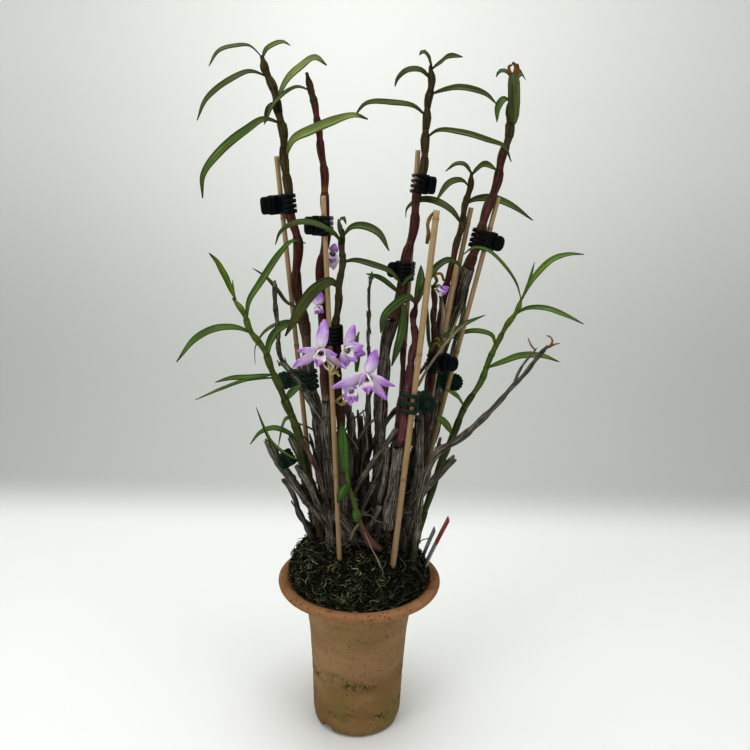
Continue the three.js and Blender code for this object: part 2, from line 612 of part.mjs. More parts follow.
// ---- Blooms ----
const LIP_SIDES = 4;
const LIP_RADII = [2, 3.8, 2.4];
const STALK_RADIUS = 1.2;
const HUB_RADIUS = 3.2;
const PETAL_BOW = 1.6; // forward, half-way along
function bloomSolid({ throat, tips, width, lip, stalk, from }) {
  const centre = vec(throat);
  const middle = tips.map(vec).reduce((sum, tip) => sum.add(tip)).divideScalar(tips.length);
  const facing = vec(lip).sub(middle).add(FRONT.clone().multiplyScalar(4)).normalize();
  const petals = tips.map((tip, i) => {
    const end = vec(tip);
    const bow = centre.clone().lerp(end, 0.5).addScaledVector(facing, PETAL_BOW);
    const start = centre.clone().lerp(end, 0.06).addScaledVector(facing, -PETAL_BOW / 2);
    const wide = width * (i % 3 === 1 ? 1.15 : 1);
    return blade([start.toArray(), bow.toArray(), end.toArray()], wide, 0, 0.25, facing);
  });
  const lipCurve = [centre.clone().addScaledVector(facing, -1.5).toArray(),
    centre.clone().lerp(vec(lip), 0.5).addScaledVector(facing, 1).toArray(), lip];
  const lipSolid = tube(lipCurve, 2, LIP_SIDES, (t) => LIP_RADII[Math.round(2 * t)]);
  const hub = solidOf(new THREE.OctahedronGeometry(HUB_RADIUS, 0).translate(...throat));
  const back = centre.clone().addScaledVector(facing, -1).toArray();
  const stalkSolid = tube([back, ...stalk], 3, 3, () => STALK_RADIUS);
  return fuse([hub, ...petals, lipSolid, stalkSolid]).subtract(caneSolid(CANES[from], GAP));
}

// ---- Claw clips ----
// A clip's own frame: Z along the held stems, Y towards the finger wings, the pin at 0, 0.
const ARM_STEPS = 3;
const LUG = 3.2; // each end lug with its gap, along the pin
const BRIDGE = CLIP.knuckle + 0.4; // the arm keeps this far from the pin's axis
const SHOULDER = 1.3; // half the arm's height beside the pin

function heldStem(name, height) {
  const stake = STAKES[name];
  if (stake) {
    const route = [stakeFoot(stake).toArray(), stake.top];
    return { ...stemAt(route, height), radius: STAKE_RADIUS + STAKE_NODE.ridge };
  }
  const cane = CANES[name];
  const found = stemAt(cane.route, height);
  return { ...found, radius: girthAt(cane.girth, found.t) * NODE_SWELL[0] };
}

// The clip's frame, and the half width and half depth of the oval that both stems fit in.
function clipPlace({ height, wing, side, held, size }) {
  const stems = held.map((name) => heldStem(name, height));
  const zAxis = stems.reduce((sum, s) => sum.add(s.along), new THREE.Vector3()).setLength(side);
  const yAxis = new THREE.Vector3(Math.cos(rad(wing)), Math.sin(rad(wing)), 0);
  yAxis.addScaledVector(zAxis, -yAxis.dot(zAxis)).normalize();
  const xAxis = yAxis.clone().cross(zAxis);
  const spots = stems.map(({ centre, radius }) => (
    { x: centre.dot(xAxis), y: centre.dot(yAxis), r: radius + CLIP.room }));
  const span = (k) => {
    const low = Math.min(...spots.map((s) => s[k] - s.r));
    const high = Math.max(...spots.map((s) => s[k] + s.r));
    return { middle: (low + high) / 2, half: (high - low) / 2 };
  };
  const [across, deep] = [span("x"), span("y")];
  let reach = 0;
  for (const s of spots)
    for (let turn = 0; turn < 2 * Math.PI; turn += 0.2) {
      const x = (s.x + s.r * Math.cos(turn) - across.middle) / across.half;
      const y = (s.y + s.r * Math.sin(turn) - deep.middle) / deep.half;
      reach = Math.max(reach, Math.hypot(x, y));
    }
  const [a, b] = [across.half * reach, deep.half * reach];
  const pinY = b + CLIP.knuckle + 0.2;
  const origin = new THREE.Vector3()
    .addScaledVector(xAxis, across.middle)
    .addScaledVector(yAxis, deep.middle + pinY)
    .addScaledVector(zAxis, zAxis.dot(stems[0].centre));
  const matrix = new THREE.Matrix4().makeBasis(xAxis, yAxis, zAxis).setPosition(origin);
  return { matrix, a, b, pinY, size };
}

const extrude = (shape, depth) =>
  solidOf(new THREE.ExtrudeGeometry(shape, { depth, bevelEnabled: false })
    .translate(0, 0, -depth / 2));

// One jaw's arm and finger wing, on the +X side, clear of the pin.
function jawBlank({ a, b, pinY, size }) {
  const oval = (grow, degrees) =>
    new THREE.Vector2((a + grow) * Math.cos(rad(degrees)), (b + grow) * Math.sin(rad(degrees)) - pinY);
  const outline = [new THREE.Vector2(BRIDGE + CLIP.wall, SHOULDER)];
  const bearing = (i) => mix(...CLIP.arm, i / ARM_STEPS);
  for (let i = 0; i <= ARM_STEPS; i++) outline.push(oval(CLIP.wall, bearing(i)));
  for (let i = ARM_STEPS; i >= 0; i--) outline.push(oval(0, bearing(i)));
  outline.push(new THREE.Vector2(BRIDGE, -SHOULDER), new THREE.Vector2(BRIDGE, SHOULDER));
  const arm = extrude(new THREE.Shape(outline), size.length);
  const half = size.length / 2;
  const pad = new THREE.Shape();
  pad.moveTo(-half + 2, 0).lineTo(half - 2, 0).lineTo(half, size.wing - 5);
  pad.lineTo(half - 4, size.wing).lineTo(-half + 4, size.wing).lineTo(-half, size.wing - 5);
  const wing = solidOf(new THREE.ExtrudeGeometry(pad, { depth: CLIP.wall, bevelEnabled: false })
    .rotateY(Math.PI / 2)
    .rotateZ(-rad(CLIP.wingAngle))
    .translate(BRIDGE, 0.6, 0));
  return arm.add(wing);
}

// The outline of a lug or knuckle round the pin, with a strap to the arm.
const lugOutline = () =>
  new THREE.Shape([[BRIDGE + 0.6, -1], [BRIDGE + 0.6, 1], [0.8, 2], [-1.6, 1.2], [-1.6, -1.2], [0.8, -2]]
    .map(([x, y]) => new THREE.Vector2(x, y)));
const hexagon = (radius) => new THREE.Path(Array.from({ length: 6 }, (_, i) =>
  new THREE.Vector2(radius * Math.cos((i * Math.PI) / 3), -radius * Math.sin((i * Math.PI) / 3))));

// The fixed jaw carries the pin between its two end lugs.
function fixedJaw(place) {
  const { length } = place.size;
  const thick = LUG - GAP;
  const lug = extrude(lugOutline(), thick);
  const away = (length - thick) / 2;
  const pin = extrude(new THREE.Shape(hexagon(CLIP.pin).getPoints()), length - 1);
  const lugs = [lug.translate([0, 0, -away]), lug.translate([0, 0, away])];
  return fuse([jawBlank(place), ...lugs, pin]).mirror([1, 0, 0]);
}

// The moving jaw turns on the pin with its middle knuckle.
function movingJaw(place) {
  const outline = lugOutline();
  outline.holes.push(hexagon(CLIP.pin + 0.4));
  return jawBlank(place).add(extrude(outline, place.size.length - 2 * LUG));
}

// ---- Labels ----
function labelSolid({ foot, top, width }, spare = 0) {
  const height = vec(foot).distanceTo(vec(top)) + spare;
  const plate = new THREE.BoxGeometry(0.8 + 2 * spare, width + 2 * spare, height);
  const turn = new THREE.Quaternion().setFromUnitVectors(UP, vec(top).sub(vec(foot)).normalize());
  return solidOf(plate, new THREE.Matrix4().compose(
    vec(foot).lerp(vec(top), 0.5).addScaledVector(UP, -spare / 2), turn, new THREE.Vector3(1, 1, 1)));
}

// ---- Assembly ----
const part = new THREE.Group();

const footHole = (route, radius) => drill(route[0], stemAt(route, MOSS_TOP).centre.toArray(), radius);
const holes = [
  ...Object.values(STAKES).map((ends) => drill(stakeFoot(ends).toArray(), ends.top, STAKE_RADIUS)),
  ...Object.values(CANES).map(({ route, girth }) => footHole(route, girth[0] * NODE_SWELL[0])),
  ...[...Object.values(OLD_CANES).flat(), KEIKI.stump]
    .filter((s) => s.route[0][2] < MOSS_TOP)
    .map((s) => footHole(s.route, s.thick * NODE_SWELL[0])),
  ...[KEIKI.root, KEIKI.stem].map((s) => oldStem(s, GAP)),
  ...Object.values(LABELS).map((label) => labelSolid(label, GAP)),
];

part.add(meshOf("pot", pot(), TERRACOTTA, 0.85));
part.add(meshOf("moss", moss(holes), MOSS_BROWN, 0.95));
for (const [name, ends] of Object.entries(STAKES)) part.add(meshOf(name, stakeSolid(ends), BAMBOO, 0.5));
for (const [name, cane] of Object.entries(CANES)) {
  const leaves = cane.leaves.map((l) => leafOn(cane.route, l));
  part.add(meshOf(name, fuse([caneSolid(cane), ...leaves]), LEAF_GREEN, 0.45));
}
for (const [name, stems] of Object.entries(OLD_CANES))
  part.add(meshOf(name, fuse(stems.map((s) => oldStem(s))), OLD_CANE, 0.7));
const keikiStems = [KEIKI.stem, KEIKI.root, KEIKI.holdfast, KEIKI.stump].map((s) => oldStem(s));
const keikiLeaves = KEIKI.leaves.map((l) => leafOn(KEIKI.stem.route, l));
part.add(meshOf("keiki", fuse([...keikiStems, ...keikiLeaves]), LEAF_GREEN, 0.45));
for (const [name, bloom] of Object.entries(BLOOMS)) part.add(meshOf(name, bloomSolid(bloom), BLOOM, 0.55));
for (const [name, label] of Object.entries(LABELS))
  part.add(meshOf(name, labelSolid(label), label.colour, 0.5));
for (const [name, data] of Object.entries(CLIPS)) {
  const place = clipPlace(data);
  const frame = new THREE.Group();
  frame.applyMatrix4(place.matrix);
  frame.add(meshOf(name + "_fixed_jaw", fixedJaw(place), data.colour, 0.35));
  frame.add(meshOf(name + "_moving_jaw", movingJaw(place), data.colour, 0.35));
  part.add(frame);
}

// The frame's origin is the middle of the part's footprint box, on the surface it stands on.
part.updateMatrixWorld(true);
const box = new THREE.Box3().setFromObject(part, true);
part.position.set(-(box.min.x + box.max.x) / 2, -(box.min.y + box.max.y) / 2, -box.min.z);

export default part;
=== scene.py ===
# A dendrobium orchid in its terracotta pot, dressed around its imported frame.
# The data is in millimetres in the pot's own frame: the pot's axis is x = y = 0 and it stands
# on z = 0. Every piece is made there and placed once, by Skin.piece.
import math
import random

import bpy
import numpy as np
from mathutils import Matrix, Vector


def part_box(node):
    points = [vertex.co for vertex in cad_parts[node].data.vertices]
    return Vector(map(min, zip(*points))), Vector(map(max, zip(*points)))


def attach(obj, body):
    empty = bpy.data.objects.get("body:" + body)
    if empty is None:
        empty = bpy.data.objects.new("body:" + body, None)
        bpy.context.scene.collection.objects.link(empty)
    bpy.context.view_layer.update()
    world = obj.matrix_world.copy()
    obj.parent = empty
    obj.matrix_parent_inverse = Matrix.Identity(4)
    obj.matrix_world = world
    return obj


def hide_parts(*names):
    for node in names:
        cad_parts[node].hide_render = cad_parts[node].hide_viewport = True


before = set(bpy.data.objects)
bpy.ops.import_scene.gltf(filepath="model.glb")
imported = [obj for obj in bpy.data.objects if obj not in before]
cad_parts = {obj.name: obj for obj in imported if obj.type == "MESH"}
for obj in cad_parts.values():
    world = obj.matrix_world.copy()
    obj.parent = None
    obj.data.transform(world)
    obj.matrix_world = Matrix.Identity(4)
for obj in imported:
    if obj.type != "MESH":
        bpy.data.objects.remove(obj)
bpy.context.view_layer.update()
MM = 0.001
POT_LOW, POT_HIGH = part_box("pot")
POT_AXIS = np.array([(POT_LOW.x + POT_HIGH.x) / 2, (POT_LOW.y + POT_HIGH.y) / 2, 0.0])
PLANT = "plant"
rng = random.Random(8803)

# ---- The camera and the studio ----
CAMERA_SPOT = (10.2, -651.0, 488.0)
CAMERA_DOWN = 13.3  # degrees
CAMERA_ROLL = 1.33
FOCAL_PIXELS = 769.0
PICTURE_PIXELS = 750.0
SENSOR = 36.0


def place(point):
    """A point of the pot's frame, in metres of the row's frame."""
    return Vector(np.asarray(point, float) * MM + POT_AXIS)


def add_camera():
    data = bpy.data.cameras.new("camera")
    data.sensor_width = SENSOR
    data.lens = FOCAL_PIXELS / PICTURE_PIXELS * SENSOR
    data.clip_start = 0.01
    data.clip_end = 20
    camera = bpy.data.objects.new("camera", data)
    bpy.context.scene.collection.objects.link(camera)
    tilt = Matrix.Rotation(math.radians(90 - CAMERA_DOWN), 4, "X")
    roll = Matrix.Rotation(math.radians(CAMERA_ROLL), 4, "Z")
    camera.matrix_world = Matrix.Translation(place(CAMERA_SPOT)) @ tilt @ roll
    bpy.context.scene.camera = camera


# The studio is bright, so a colour as it looks there is laid on deeper and richer.
DEPTH = 0.9
RICHNESS = 1.12


def srgb(text):
    """The linear paint for a hexadecimal colour as it looks in the studio."""
    parts = [int(text[i : i + 2], 16) / 255 for i in (0, 2, 4)]
    linear = np.array([c / 12.92 if c <= 0.04045 else ((c + 0.055) / 1.055) ** 2.4 for c in parts])
    level = linear.mean()
    return np.clip((level + (linear - level) * RICHNESS) * DEPTH, 0.002, 1)


def mix(a, b, t):
    return a + (b - a) * t


def smooth(low, high, x):
    t = np.clip((x - low) / (high - low), 0, 1)
    return t * t * (3 - 2 * t)


# ---- The plant's data, in millimetres ----
# A stake runs straight from its foot in the moss to its top.
STAKES = {
    "stake_1": {"foot": [-40, 14, 167], "top": [-76, 14, 516]},
    "stake_2": {"foot": [-17, -30, 170], "top": [-35, -12, 485]},
    "stake_3": {"foot": [29, 25, 167], "top": [42, 21, 524]},
    "stake_4": {"foot": [30, -30, 170], "top": [56, -29, 476]},
    "stake_5": {"foot": [43, 19, 168], "top": [110, 10, 487]},
    "stake_6": {"foot": [39, 2, 178], "top": [77, 2, 431]},
    "stake_7": {"foot": [38, 22, 168], "top": [88, 13, 478]},
}

# A leaf leaves its cane at a height, and runs on through its own points to its tip.
# face is how far its blade is turned up towards the front, in degrees.


def leaf(height, width, face, *points):
    return {"height": height, "width": width, "face": face, "points": points}


# A cane: its route from the foot up, its radius at the foot, the middle and the tip, its
# number of internodes, and its leaves.
CANES = {
    "cane_1": {
        "route": [[-19, 8, 162], [-34, 8, 252], [-47, 8, 331], [-53, 8, 378], [-59, 8, 418], [-58, 7, 450],
            [-64, 6, 472], [-66, 6, 490], [-69, 6, 524], [-72, 6, 548], [-79, 6, 572], [-87, 6, 593]],
        "girth": [3.6, 4.1, 2.8],
        "internodes": 12,
        "leaves": [
            leaf(592, 4.5, 45, [-95, 2, 599], [-105, -6, 598], [-117, -15, 592], [-123, -22, 580]),
            leaf(590, 5.5, 50, [-82, 5, 598], [-75, 5, 602], [-69, 8, 604], [-64, 12, 602]),
            leaf(576, 6, 50, [-95, 1, 580], [-109, -7, 573], [-127, -15, 557], [-133, -23, 540]),
            leaf(558, 9, 65, [-65, 0, 574], [-52, -6, 585], [-42, -10, 590], [-33, -13, 584]),
            leaf(558, 5.5, 20, [-82, 16, 556], [-88, 28, 542]),
            leaf(541, 8.5, 55, [-84, 0, 544], [-97, -8, 535], [-118, -14, 517], [-130, -20, 499], [-130, -25, 481]),
            leaf(513, 10, 70, [-60, -3, 528], [-46, -11, 535], [-28, -17, 542], [-10, -20, 547], [0, -21, 544]),
            leaf(376, 6, 40, [-68, 12, 377], [-85, 18, 369], [-97, 24, 352], [-99, 32, 334]),
            leaf(390, 4, 50, [-67, 10, 394], [-76, 12, 405], [-86, 12, 416], [-97, 12, 423]),
        ],
    },
    "cane_2": {
        "route": [[-26, -8, 164], [-29, -7, 249], [-32, -6, 312], [-35, -5, 365], [-37, -4, 422],
            [-34, -4, 449], [-33, -4, 470], [-35, -3, 491], [-36, -3, 513], [-41, -3, 541],
            [-42, -3, 555], [-47, -2, 567], [-49, -2, 580]],
        "girth": [3.5, 3.5, 2.1],
        "internodes": 12,
        "leaves": [
            leaf(566, 4.5, 50, [-56, -2, 569], [-63, -1, 567], [-69, -1, 563], [-77, -4, 553], [-82, -5, 541]),
        ],
    },
    "cane_3": {
        "route": [[16, 6, 162], [14, 8, 234], [17, 10, 281], [17, 10, 323], [19, 11, 353], [25, 11, 383],
            [31, 11, 407], [35, 12, 434], [40, 13, 462], [43, 13, 491], [48, 14, 523], [47, 14, 544],
            [50, 15, 569], [50, 16, 590]],
        "girth": [4.1, 4, 2.2],
        "internodes": 13,
        "leaves": [
            leaf(588, 4.5, 50, [47, 13, 596], [43, 12, 600], [40, 11, 597]),
            leaf(586, 5, 60, [58, 9, 592], [64, 0, 595], [73, -9, 593]),
            leaf(579, 6, 60, [41, 12, 586], [30, 11, 585], [23, 12, 579], [21, 15, 573]),
            leaf(567, 6, 65, [59, 9, 570], [72, 1, 572], [92, -6, 567], [101, -14, 558]),
            leaf(550, 6, 60, [36, 11, 558], [19, 9, 560], [-2, 8, 559], [-12, 9, 548]),
            leaf(532, 6, 60, [57, 9, 539], [75, 4, 538], [97, -1, 532], [110, -5, 527], [116, -8, 515]),
        ],
    },
    "cane_4": {
        "route": [[27, 12, 162], [39, 11, 214], [49, 10, 263], [57, 9, 310], [62, 10, 356], [67, 9, 391],
            [71, 8, 421], [76, 8, 441], [79, 8, 459], [83, 8, 481], [85, 8, 494], [87, 8, 507]],
        "girth": [3.5, 3.5, 1.9],
        "internodes": 10,
        "leaves": [
            leaf(505, 4.5, 55, [80, 8, 513], [73, 9, 513], [65, 13, 507]),
            leaf(503, 6.5, 65, [91, 1, 510], [96, -6, 513], [104, -13, 508]),
            leaf(494, 6, 55, [77, 1, 500], [66, -8, 497], [56, -17, 483]),
            leaf(481, 8.5, 60, [92, 16, 485], [105, 24, 486], [121, 30, 482], [145, 35, 468]),
            leaf(465, 7, 60, [71, 14, 476], [57, 21, 483], [44, 27, 483], [35, 32, 476], [34, 38, 468]),
        ],
    },
    "cane_5": {
        "route": [[48, 24, 162], [54, 26, 238], [62, 25, 298], [68, 25, 344], [74, 23, 373], [81, 18, 399],
            [89, 12, 429], [97, 8, 461], [106, 8, 493], [111, 8, 517], [115, 8, 538], [116, 8, 564],
            [116, 8, 581]],
        "girth": [4.1, 4.4, 2.5],
        "internodes": 13,
        "leaves": [
            leaf(545, 11, 0, [116, 4, 557], [116, 4, 571], [115, 4, 583]),
            leaf(561, 6.5, 45, [109, 1, 564], [103, -6, 557], [102, -12, 545]),
            leaf(578, 5, 50, [110, 5, 585], [104, 4, 585], [102, 6, 581]),
            leaf(577, 7, 60, [122, 15, 586], [129, 25, 582]),
        ],
    },
    "cane_6": {
        "route": [[46, -13, 162], [62, -5, 228], [74, 0, 262], [86, 4, 295], [104, 7, 331],
            [110, 8, 346], [115, 9, 362], [124, 10, 378], [131, 11, 391], [136, 11, 403]],
        "girth": [3.4, 3, 2],
        "internodes": 9,
        "leaves": [
            leaf(400, 5, 50, [129, 7, 415], [117, 1, 431], [101, -3, 444], [89, -8, 446], [80, -12, 440]),
            leaf(402, 6, 55, [143, 9, 419], [158, 9, 436], [172, 12, 441], [187, 16, 441]),
            leaf(401, 3, 60, [141, 15, 415], [146, 20, 433]),
            leaf(387, 5.5, 50, [139, 3, 395], [152, -6, 397], [167, -15, 393], [181, -24, 387]),
            leaf(360, 5.5, 50, [112, 12, 369], [101, 17, 372], [89, 21, 370], [77, 28, 362]),
            leaf(340, 7, 55, [119, -1, 348], [135, -8, 356], [150, -16, 358], [163, -25, 355]),
            leaf(304, 6.5, 60, [82, -7, 318], [70, -21, 328]),
            leaf(280, 10, 75, [71, -13, 296], [62, -27, 305]),
        ],
    },
    "cane_7": {
        "route": [[-31, 2, 162], [-43, -9, 230], [-51, -16, 265], [-60, -21, 303], [-68, -23, 321],
            [-75, -24, 340], [-80, -24, 354], [-92, -25, 373], [-97, -25, 385], [-107, -25, 402]],
        "girth": [3.7, 3.5, 2],
        "internodes": 9,
        "leaves": [
            leaf(400, 8, 65, [-112, -27, 416], [-118, -33, 431], [-123, -39, 439]),
            leaf(398, 3, 60, [-108, -19, 407], [-110, -11, 415]),
            leaf(384, 6.5, 60, [-95, -21, 399], [-85, -17, 416], [-70, -12, 439], [-61, -7, 448], [-50, -2, 446]),
            leaf(373, 7, 55, [-105, -28, 378], [-120, -34, 378], [-136, -39, 370], [-150, -46, 352]),
            leaf(353, 7.5, 65, [-80, -16, 362], [-74, -10, 373], [-64, -4, 378], [-59, 0, 379]),
            leaf(338, 5.5, 50, [-92, -30, 337], [-109, -36, 337], [-120, -43, 335]),
            leaf(335, 4, 45, [-99, -17, 331], [-122, -10, 321], [-147, -1, 308]),
            leaf(315, 7, 60, [-60, -18, 322], [-51, -18, 329]),
            leaf(300, 6, 60, [-66, -14, 296], [-70, -10, 284], [-73, -9, 270]),
            leaf(278, 5.5, 50, [-64, -13, 284], [-76, -13, 288], [-88, -14, 284], [-97, -15, 273]),
            leaf(258, 3.5, 50, [-62, -18, 264], [-78, -18, 277], [-85, -17, 291], [-91, -16, 307]),
        ],
    },
    "cane_8": {
        "route": [[-12, -10, 162], [-16, -13, 242], [-20, -15, 314], [-23, -14, 363], [-23, -15, 389],
            [-20, -16, 418], [-19, -15, 438], [-19, -15, 459]],
        "girth": [3.2, 3.4, 2],
        "internodes": 10,
        "leaves": [
            leaf(446, 6.5, 50, [-27, -26, 457], [-43, -30, 464], [-58, -29, 463], [-68, -28, 456], [-72, -28, 446]),
            leaf(451, 7.5, 60, [-11, -20, 461], [0, -26, 462], [11, -32, 457], [19, -38, 444]),
            leaf(451, 5, 20, [-21, -11, 459], [-23, -9, 467]),
            leaf(457, 4.5, 60, [-21, -16, 466], [-18, -17, 468], [-16, -19, 463]),
            leaf(432, 6, 60, [-8, -15, 434], [7, -18, 431], [21, -21, 426], [30, -25, 416]),
            leaf(410, 11, 75, [-28, -23, 417], [-39, -29, 412], [-49, -34, 400], [-63, -40, 374]),
        ],
    },
    "cane_9": {
        "route": [[22, -8, 162], [28, -19, 231], [34, -24, 279], [37, -26, 319], [39, -27, 344],
            [42, -27, 367], [41, -28, 386], [42, -28, 402]],
        "girth": [4.6, 4.3, 2.3],
        "internodes": 8,
        "leaves": [
            leaf(400, 8.5, 65, [36, -33, 407], [24, -37, 400], [16, -41, 391], [14, -44, 379]),
            leaf(399, 8.5, 10, [45, -21, 411], [46, -17, 423], [46, -12, 431]),
            leaf(399, 6.5, 55, [49, -23, 415], [57, -19, 429], [68, -14, 436], [76, -10, 433], [84, -9, 420]),
        ],
    },
    "cane_10": {
        "route": [[40, -5, 162], [45, -3, 228], [52, -4, 268], [57, -5, 310], [59, -6, 354], [59, -6, 391],
            [57, -6, 414]],
        "girth": [3.1, 3.4, 2.4],
        "internodes": 8,
        "leaves": [
            leaf(365, 4.5, 60, [72, 0, 372], [89, 7, 381], [105, 13, 387]),
            leaf(352, 4, 10, [55, -13, 366], [53, -17, 385], [52, -20, 401]),
        ],
    },
    "cane_11": {
        "route": [[12, -8, 162], [22, -9, 222], [30, -10, 288], [34, -10, 328], [34, -10, 355],
            [30, -10, 385], [29, -10, 401], [30, -10, 413]],
        "girth": [3, 2.4, 2],
        "internodes": 8,
        "leaves": [
            leaf(406, 6, 60, [20, -15, 415], [11, -18, 421], [1, -23, 424]),
            leaf(411, 6, 60, [35, -16, 419], [41, -21, 425]),
            leaf(399, 9, 10, [33, -15, 395], [32, -18, 376], [24, -21, 347]),
        ],
    },
}

# Old leafless canes. Those of one group grew from one foot. Each stem is its radius at the
# foot and at the tip, and its route.


def stem(thick, thin, *route):
    return {"thick": thick, "thin": thin, "route": route}


OLD_CANES = {
    "old_cane_tall": [
        stem(3, 2, [-18, -5, 160], [-20, -4, 190], [-26, -1, 223], [-29, 0, 265], [-36, -1, 290],
            [-53, -4, 323], [-71, 1, 346], [-74, 1, 370], [-77, 2, 397], [-76, 2, 414]),
    ],
    "old_canes_left": [
        stem(2.6, 1.8, [-37, 9, 160], [-39, 9, 195], [-50, 8, 217], [-63, 8, 234], [-76, 6, 255],
            [-85, 4, 271]),
        stem(2.2, 1.2, [-38, 8, 160], [-42, 4, 174], [-51, 0, 195], [-58, -2, 210], [-62, -4, 229],
            [-70, -6, 238]),
    ],
    "old_cane_back_left": [stem(2.4, 1.8, [-40, 24, 160], [-55, 27, 230], [-64, 30, 265])],
    "old_canes_front": [
        stem(2.4, 1.8, [-23, -26, 158], [-24, -21, 180], [-35, -21, 244], [-52, -22, 283]),
        stem(2.4, 1.8, [-23, -26, 158], [-27, -27, 180], [-41, -27, 233], [-55, -28, 259]),
        stem(1.8, 1.2, [-23, -27, 158], [-27, -33, 178], [-37, -33, 211], [-51, -35, 232]),
    ],
    "old_canes_middle": [
        stem(2.3, 1.8, [-3, 3, 156], [-7, 2, 180], [-8, 6, 234], [-11, 9, 285], [-14, 10, 308]),
        stem(2.3, 1.6, [-3, 3, 156], [3, -1, 180], [3, 2, 236], [4, 5, 286], [5, 8, 328]),
        stem(2.3, 1.8, [-4, 4, 156], [-8, 9, 180], [-6, 19, 219], [7, 31, 252], [20, 35, 280], [34, 36, 297]),
    ],
    "old_canes_fork": [
        stem(2.2, 1.2, [8, 16, 158], [5, 18, 180], [5, 22, 258], [5, 24, 337], [3, 27, 396], [6, 28, 421]),
        stem(2.3, 1.8, [8, 16, 158], [12, 14, 180], [14, 16, 211], [14, 19, 267], [11, 21, 317]),
    ],
    "old_canes_right": [
        stem(2.4, 1.8, [36, -17, 158], [39, -21, 180], [49, -22, 226], [61, -24, 247], [80, -26, 271]),
        stem(2.4, 1.8, [36, -17, 158], [38, -13, 180], [47, -13, 227], [48, -14, 265], [50, -14, 303]),
    ],
    "old_cane_branch": [
        stem(2.8, 2, [50, -26, 154], [52, -32, 233], [57, -35, 262], [65, -37, 277], [80, -38, 289],
            [99, -39, 307], [113, -40, 323], [123, -41, 338], [134, -42, 351], [149, -43, 372]),
        stem(1.3, 0.9, [123, -41, 338], [131, -40, 355], [140, -39, 369]),
    ],
    "old_canes_back": [
        stem(2.6, 1.8, [45, 34, 156], [50, 36, 185], [59, 41, 224], [67, 44, 264], [74, 44, 305],
            [82, 41, 352], [95, 35, 426]),
        stem(2.4, 2, [45, 34, 156], [48, 35, 185], [55, 37, 219], [62, 39, 264], [66, 41, 305],
            [70, 40, 376], [69, 38, 399]),
        stem(1.1, 0.9, [50, 41, 325], [69, 40, 350], [92, 37, 379]),
    ],
}

# The young plant in the middle: a stem on a dry stump, leaves and roots.
KEIKI = {
    "stem": stem(2.2, 1.6, [18, -17, 178], [9, -23, 189], [1, -30, 207], [-4, -33, 225],
        [-9, -34, 241], [-12, -34, 257]),
    "root": stem(1.1, 0.8, [3, -29, 203], [11, -35, 187], [17, -38, 176], [20, -38, 164]),
    "holdfast": stem(1.1, 1.1, [0, -31, 210], [-5, -33, 203], [-8, -33, 194]),
    "stump": stem(2.8, 2, [-2, -33, 156], [-7, -33, 193], [-13, -34, 204], [-19, -36, 213]),
    "leaves": [
        leaf(254, 10.5, 0, [-14, -36, 268], [-15, -37, 282], [-17, -38, 303]),
        leaf(248, 6, 0, [-13, -33, 262], [-15, -32, 276]),
        leaf(246, 11, 10, [-11, -39, 246], [-15, -41, 240], [-19, -42, 232]),
        leaf(224, 9, 10, [-3, -37, 219], [-2, -38, 212]),
    ],
}

# A bloom: its throat, the tips of its sepals and petals, its lip's tip, and its stalk, which
# ends in the cane that it grows from.
BLOOMS = {
    "bloom_1": {
        "throat": [-35, -31, 361],
        "tips": [[-32, -30, 387], [-54, -35, 361], [-21, -37, 359], [-14, -31, 346], [-58, -31, 346]],
        "width": 7.5,
        "lip": [-37, -39, 349],
        "stalk": [[-28, -28, 349], [-21, -26, 340], [-21, -15, 337]],
        "from": "cane_8",
    },
    "bloom_2": {
        "throat": [-14, -24, 361],
        "tips": [[-8, -24, 382], [0, -30, 366], [2, -18, 356], [-5, -25, 351], [-15, -25, 346]],
        "width": 7,
        "lip": [-3, -26, 360],
        "stalk": [[-19, -23, 354], [-22, -22, 348], [-22, -15, 346]],
        "from": "cane_8",
    },
    "bloom_3": {
        "throat": [4, -28, 340],
        "tips": [[11, -26, 362], [-26, -33, 330], [27, -31, 332], [20, -26, 319], [-3, -35, 333]],
        "width": 8,
        "lip": [5, -37, 326],
        "stalk": [[4, -22, 337], [-8, -18, 329], [-21, -15, 326]],
        "from": "cane_8",
    },
    "bloom_4": {
        "throat": [-30, 8, 434],
        "tips": [[-31, 8, 446], [-40, 7, 440], [-21, 7, 441], [-23, 8, 424], [-38, 8, 424]],
        "width": 6,
        "lip": [-30, 4, 427],
        "stalk": [[-32, 10, 430], [-35, 5, 424], [-37, -4, 421]],
        "from": "cane_2",
    },
    "bloom_5": {
        "throat": [-38, -14, 395],
        "tips": [[-42, -15, 406], [-36, -15, 407], [-34, -16, 390], [-41, -16, 389]],
        "width": 5,
        "lip": [-37, -19, 390],
        "stalk": [[-38, -11, 392], [-37, -7, 389], [-36, -5, 388]],
        "from": "cane_2",
    },
    "bloom_6": {
        "throat": [-10, -24, 325],
        "tips": [[-16, -25, 332], [-8, -25, 333], [-4, -26, 317], [-10, -27, 314], [-15, -26, 318]],
        "width": 6,
        "lip": [-8, -30, 319],
        "stalk": [[-14, -22, 319], [-18, -19, 312], [-20, -15, 310]],
        "from": "cane_8",
    },
    "bloom_7": {
        "throat": [62, -11, 412],
        "tips": [[70, -12, 413], [69, -15, 411], [69, -8, 411]],
        "width": 5,
        "lip": [68, -12, 408],
        "stalk": [[60, -9, 411], [58, -6, 409]],
        "from": "cane_10",
    },
}

# A claw clip holds two stems together at a height. wing is the compass way that its finger
# wings point, in degrees from +X, and its moving jaw is to the left of them, or to the right.
LEFT = 1
RIGHT = -1


def clip(kind, height, wing, side, *held):
    return {**kind, "height": height, "wing": wing, "side": side, "held": held}


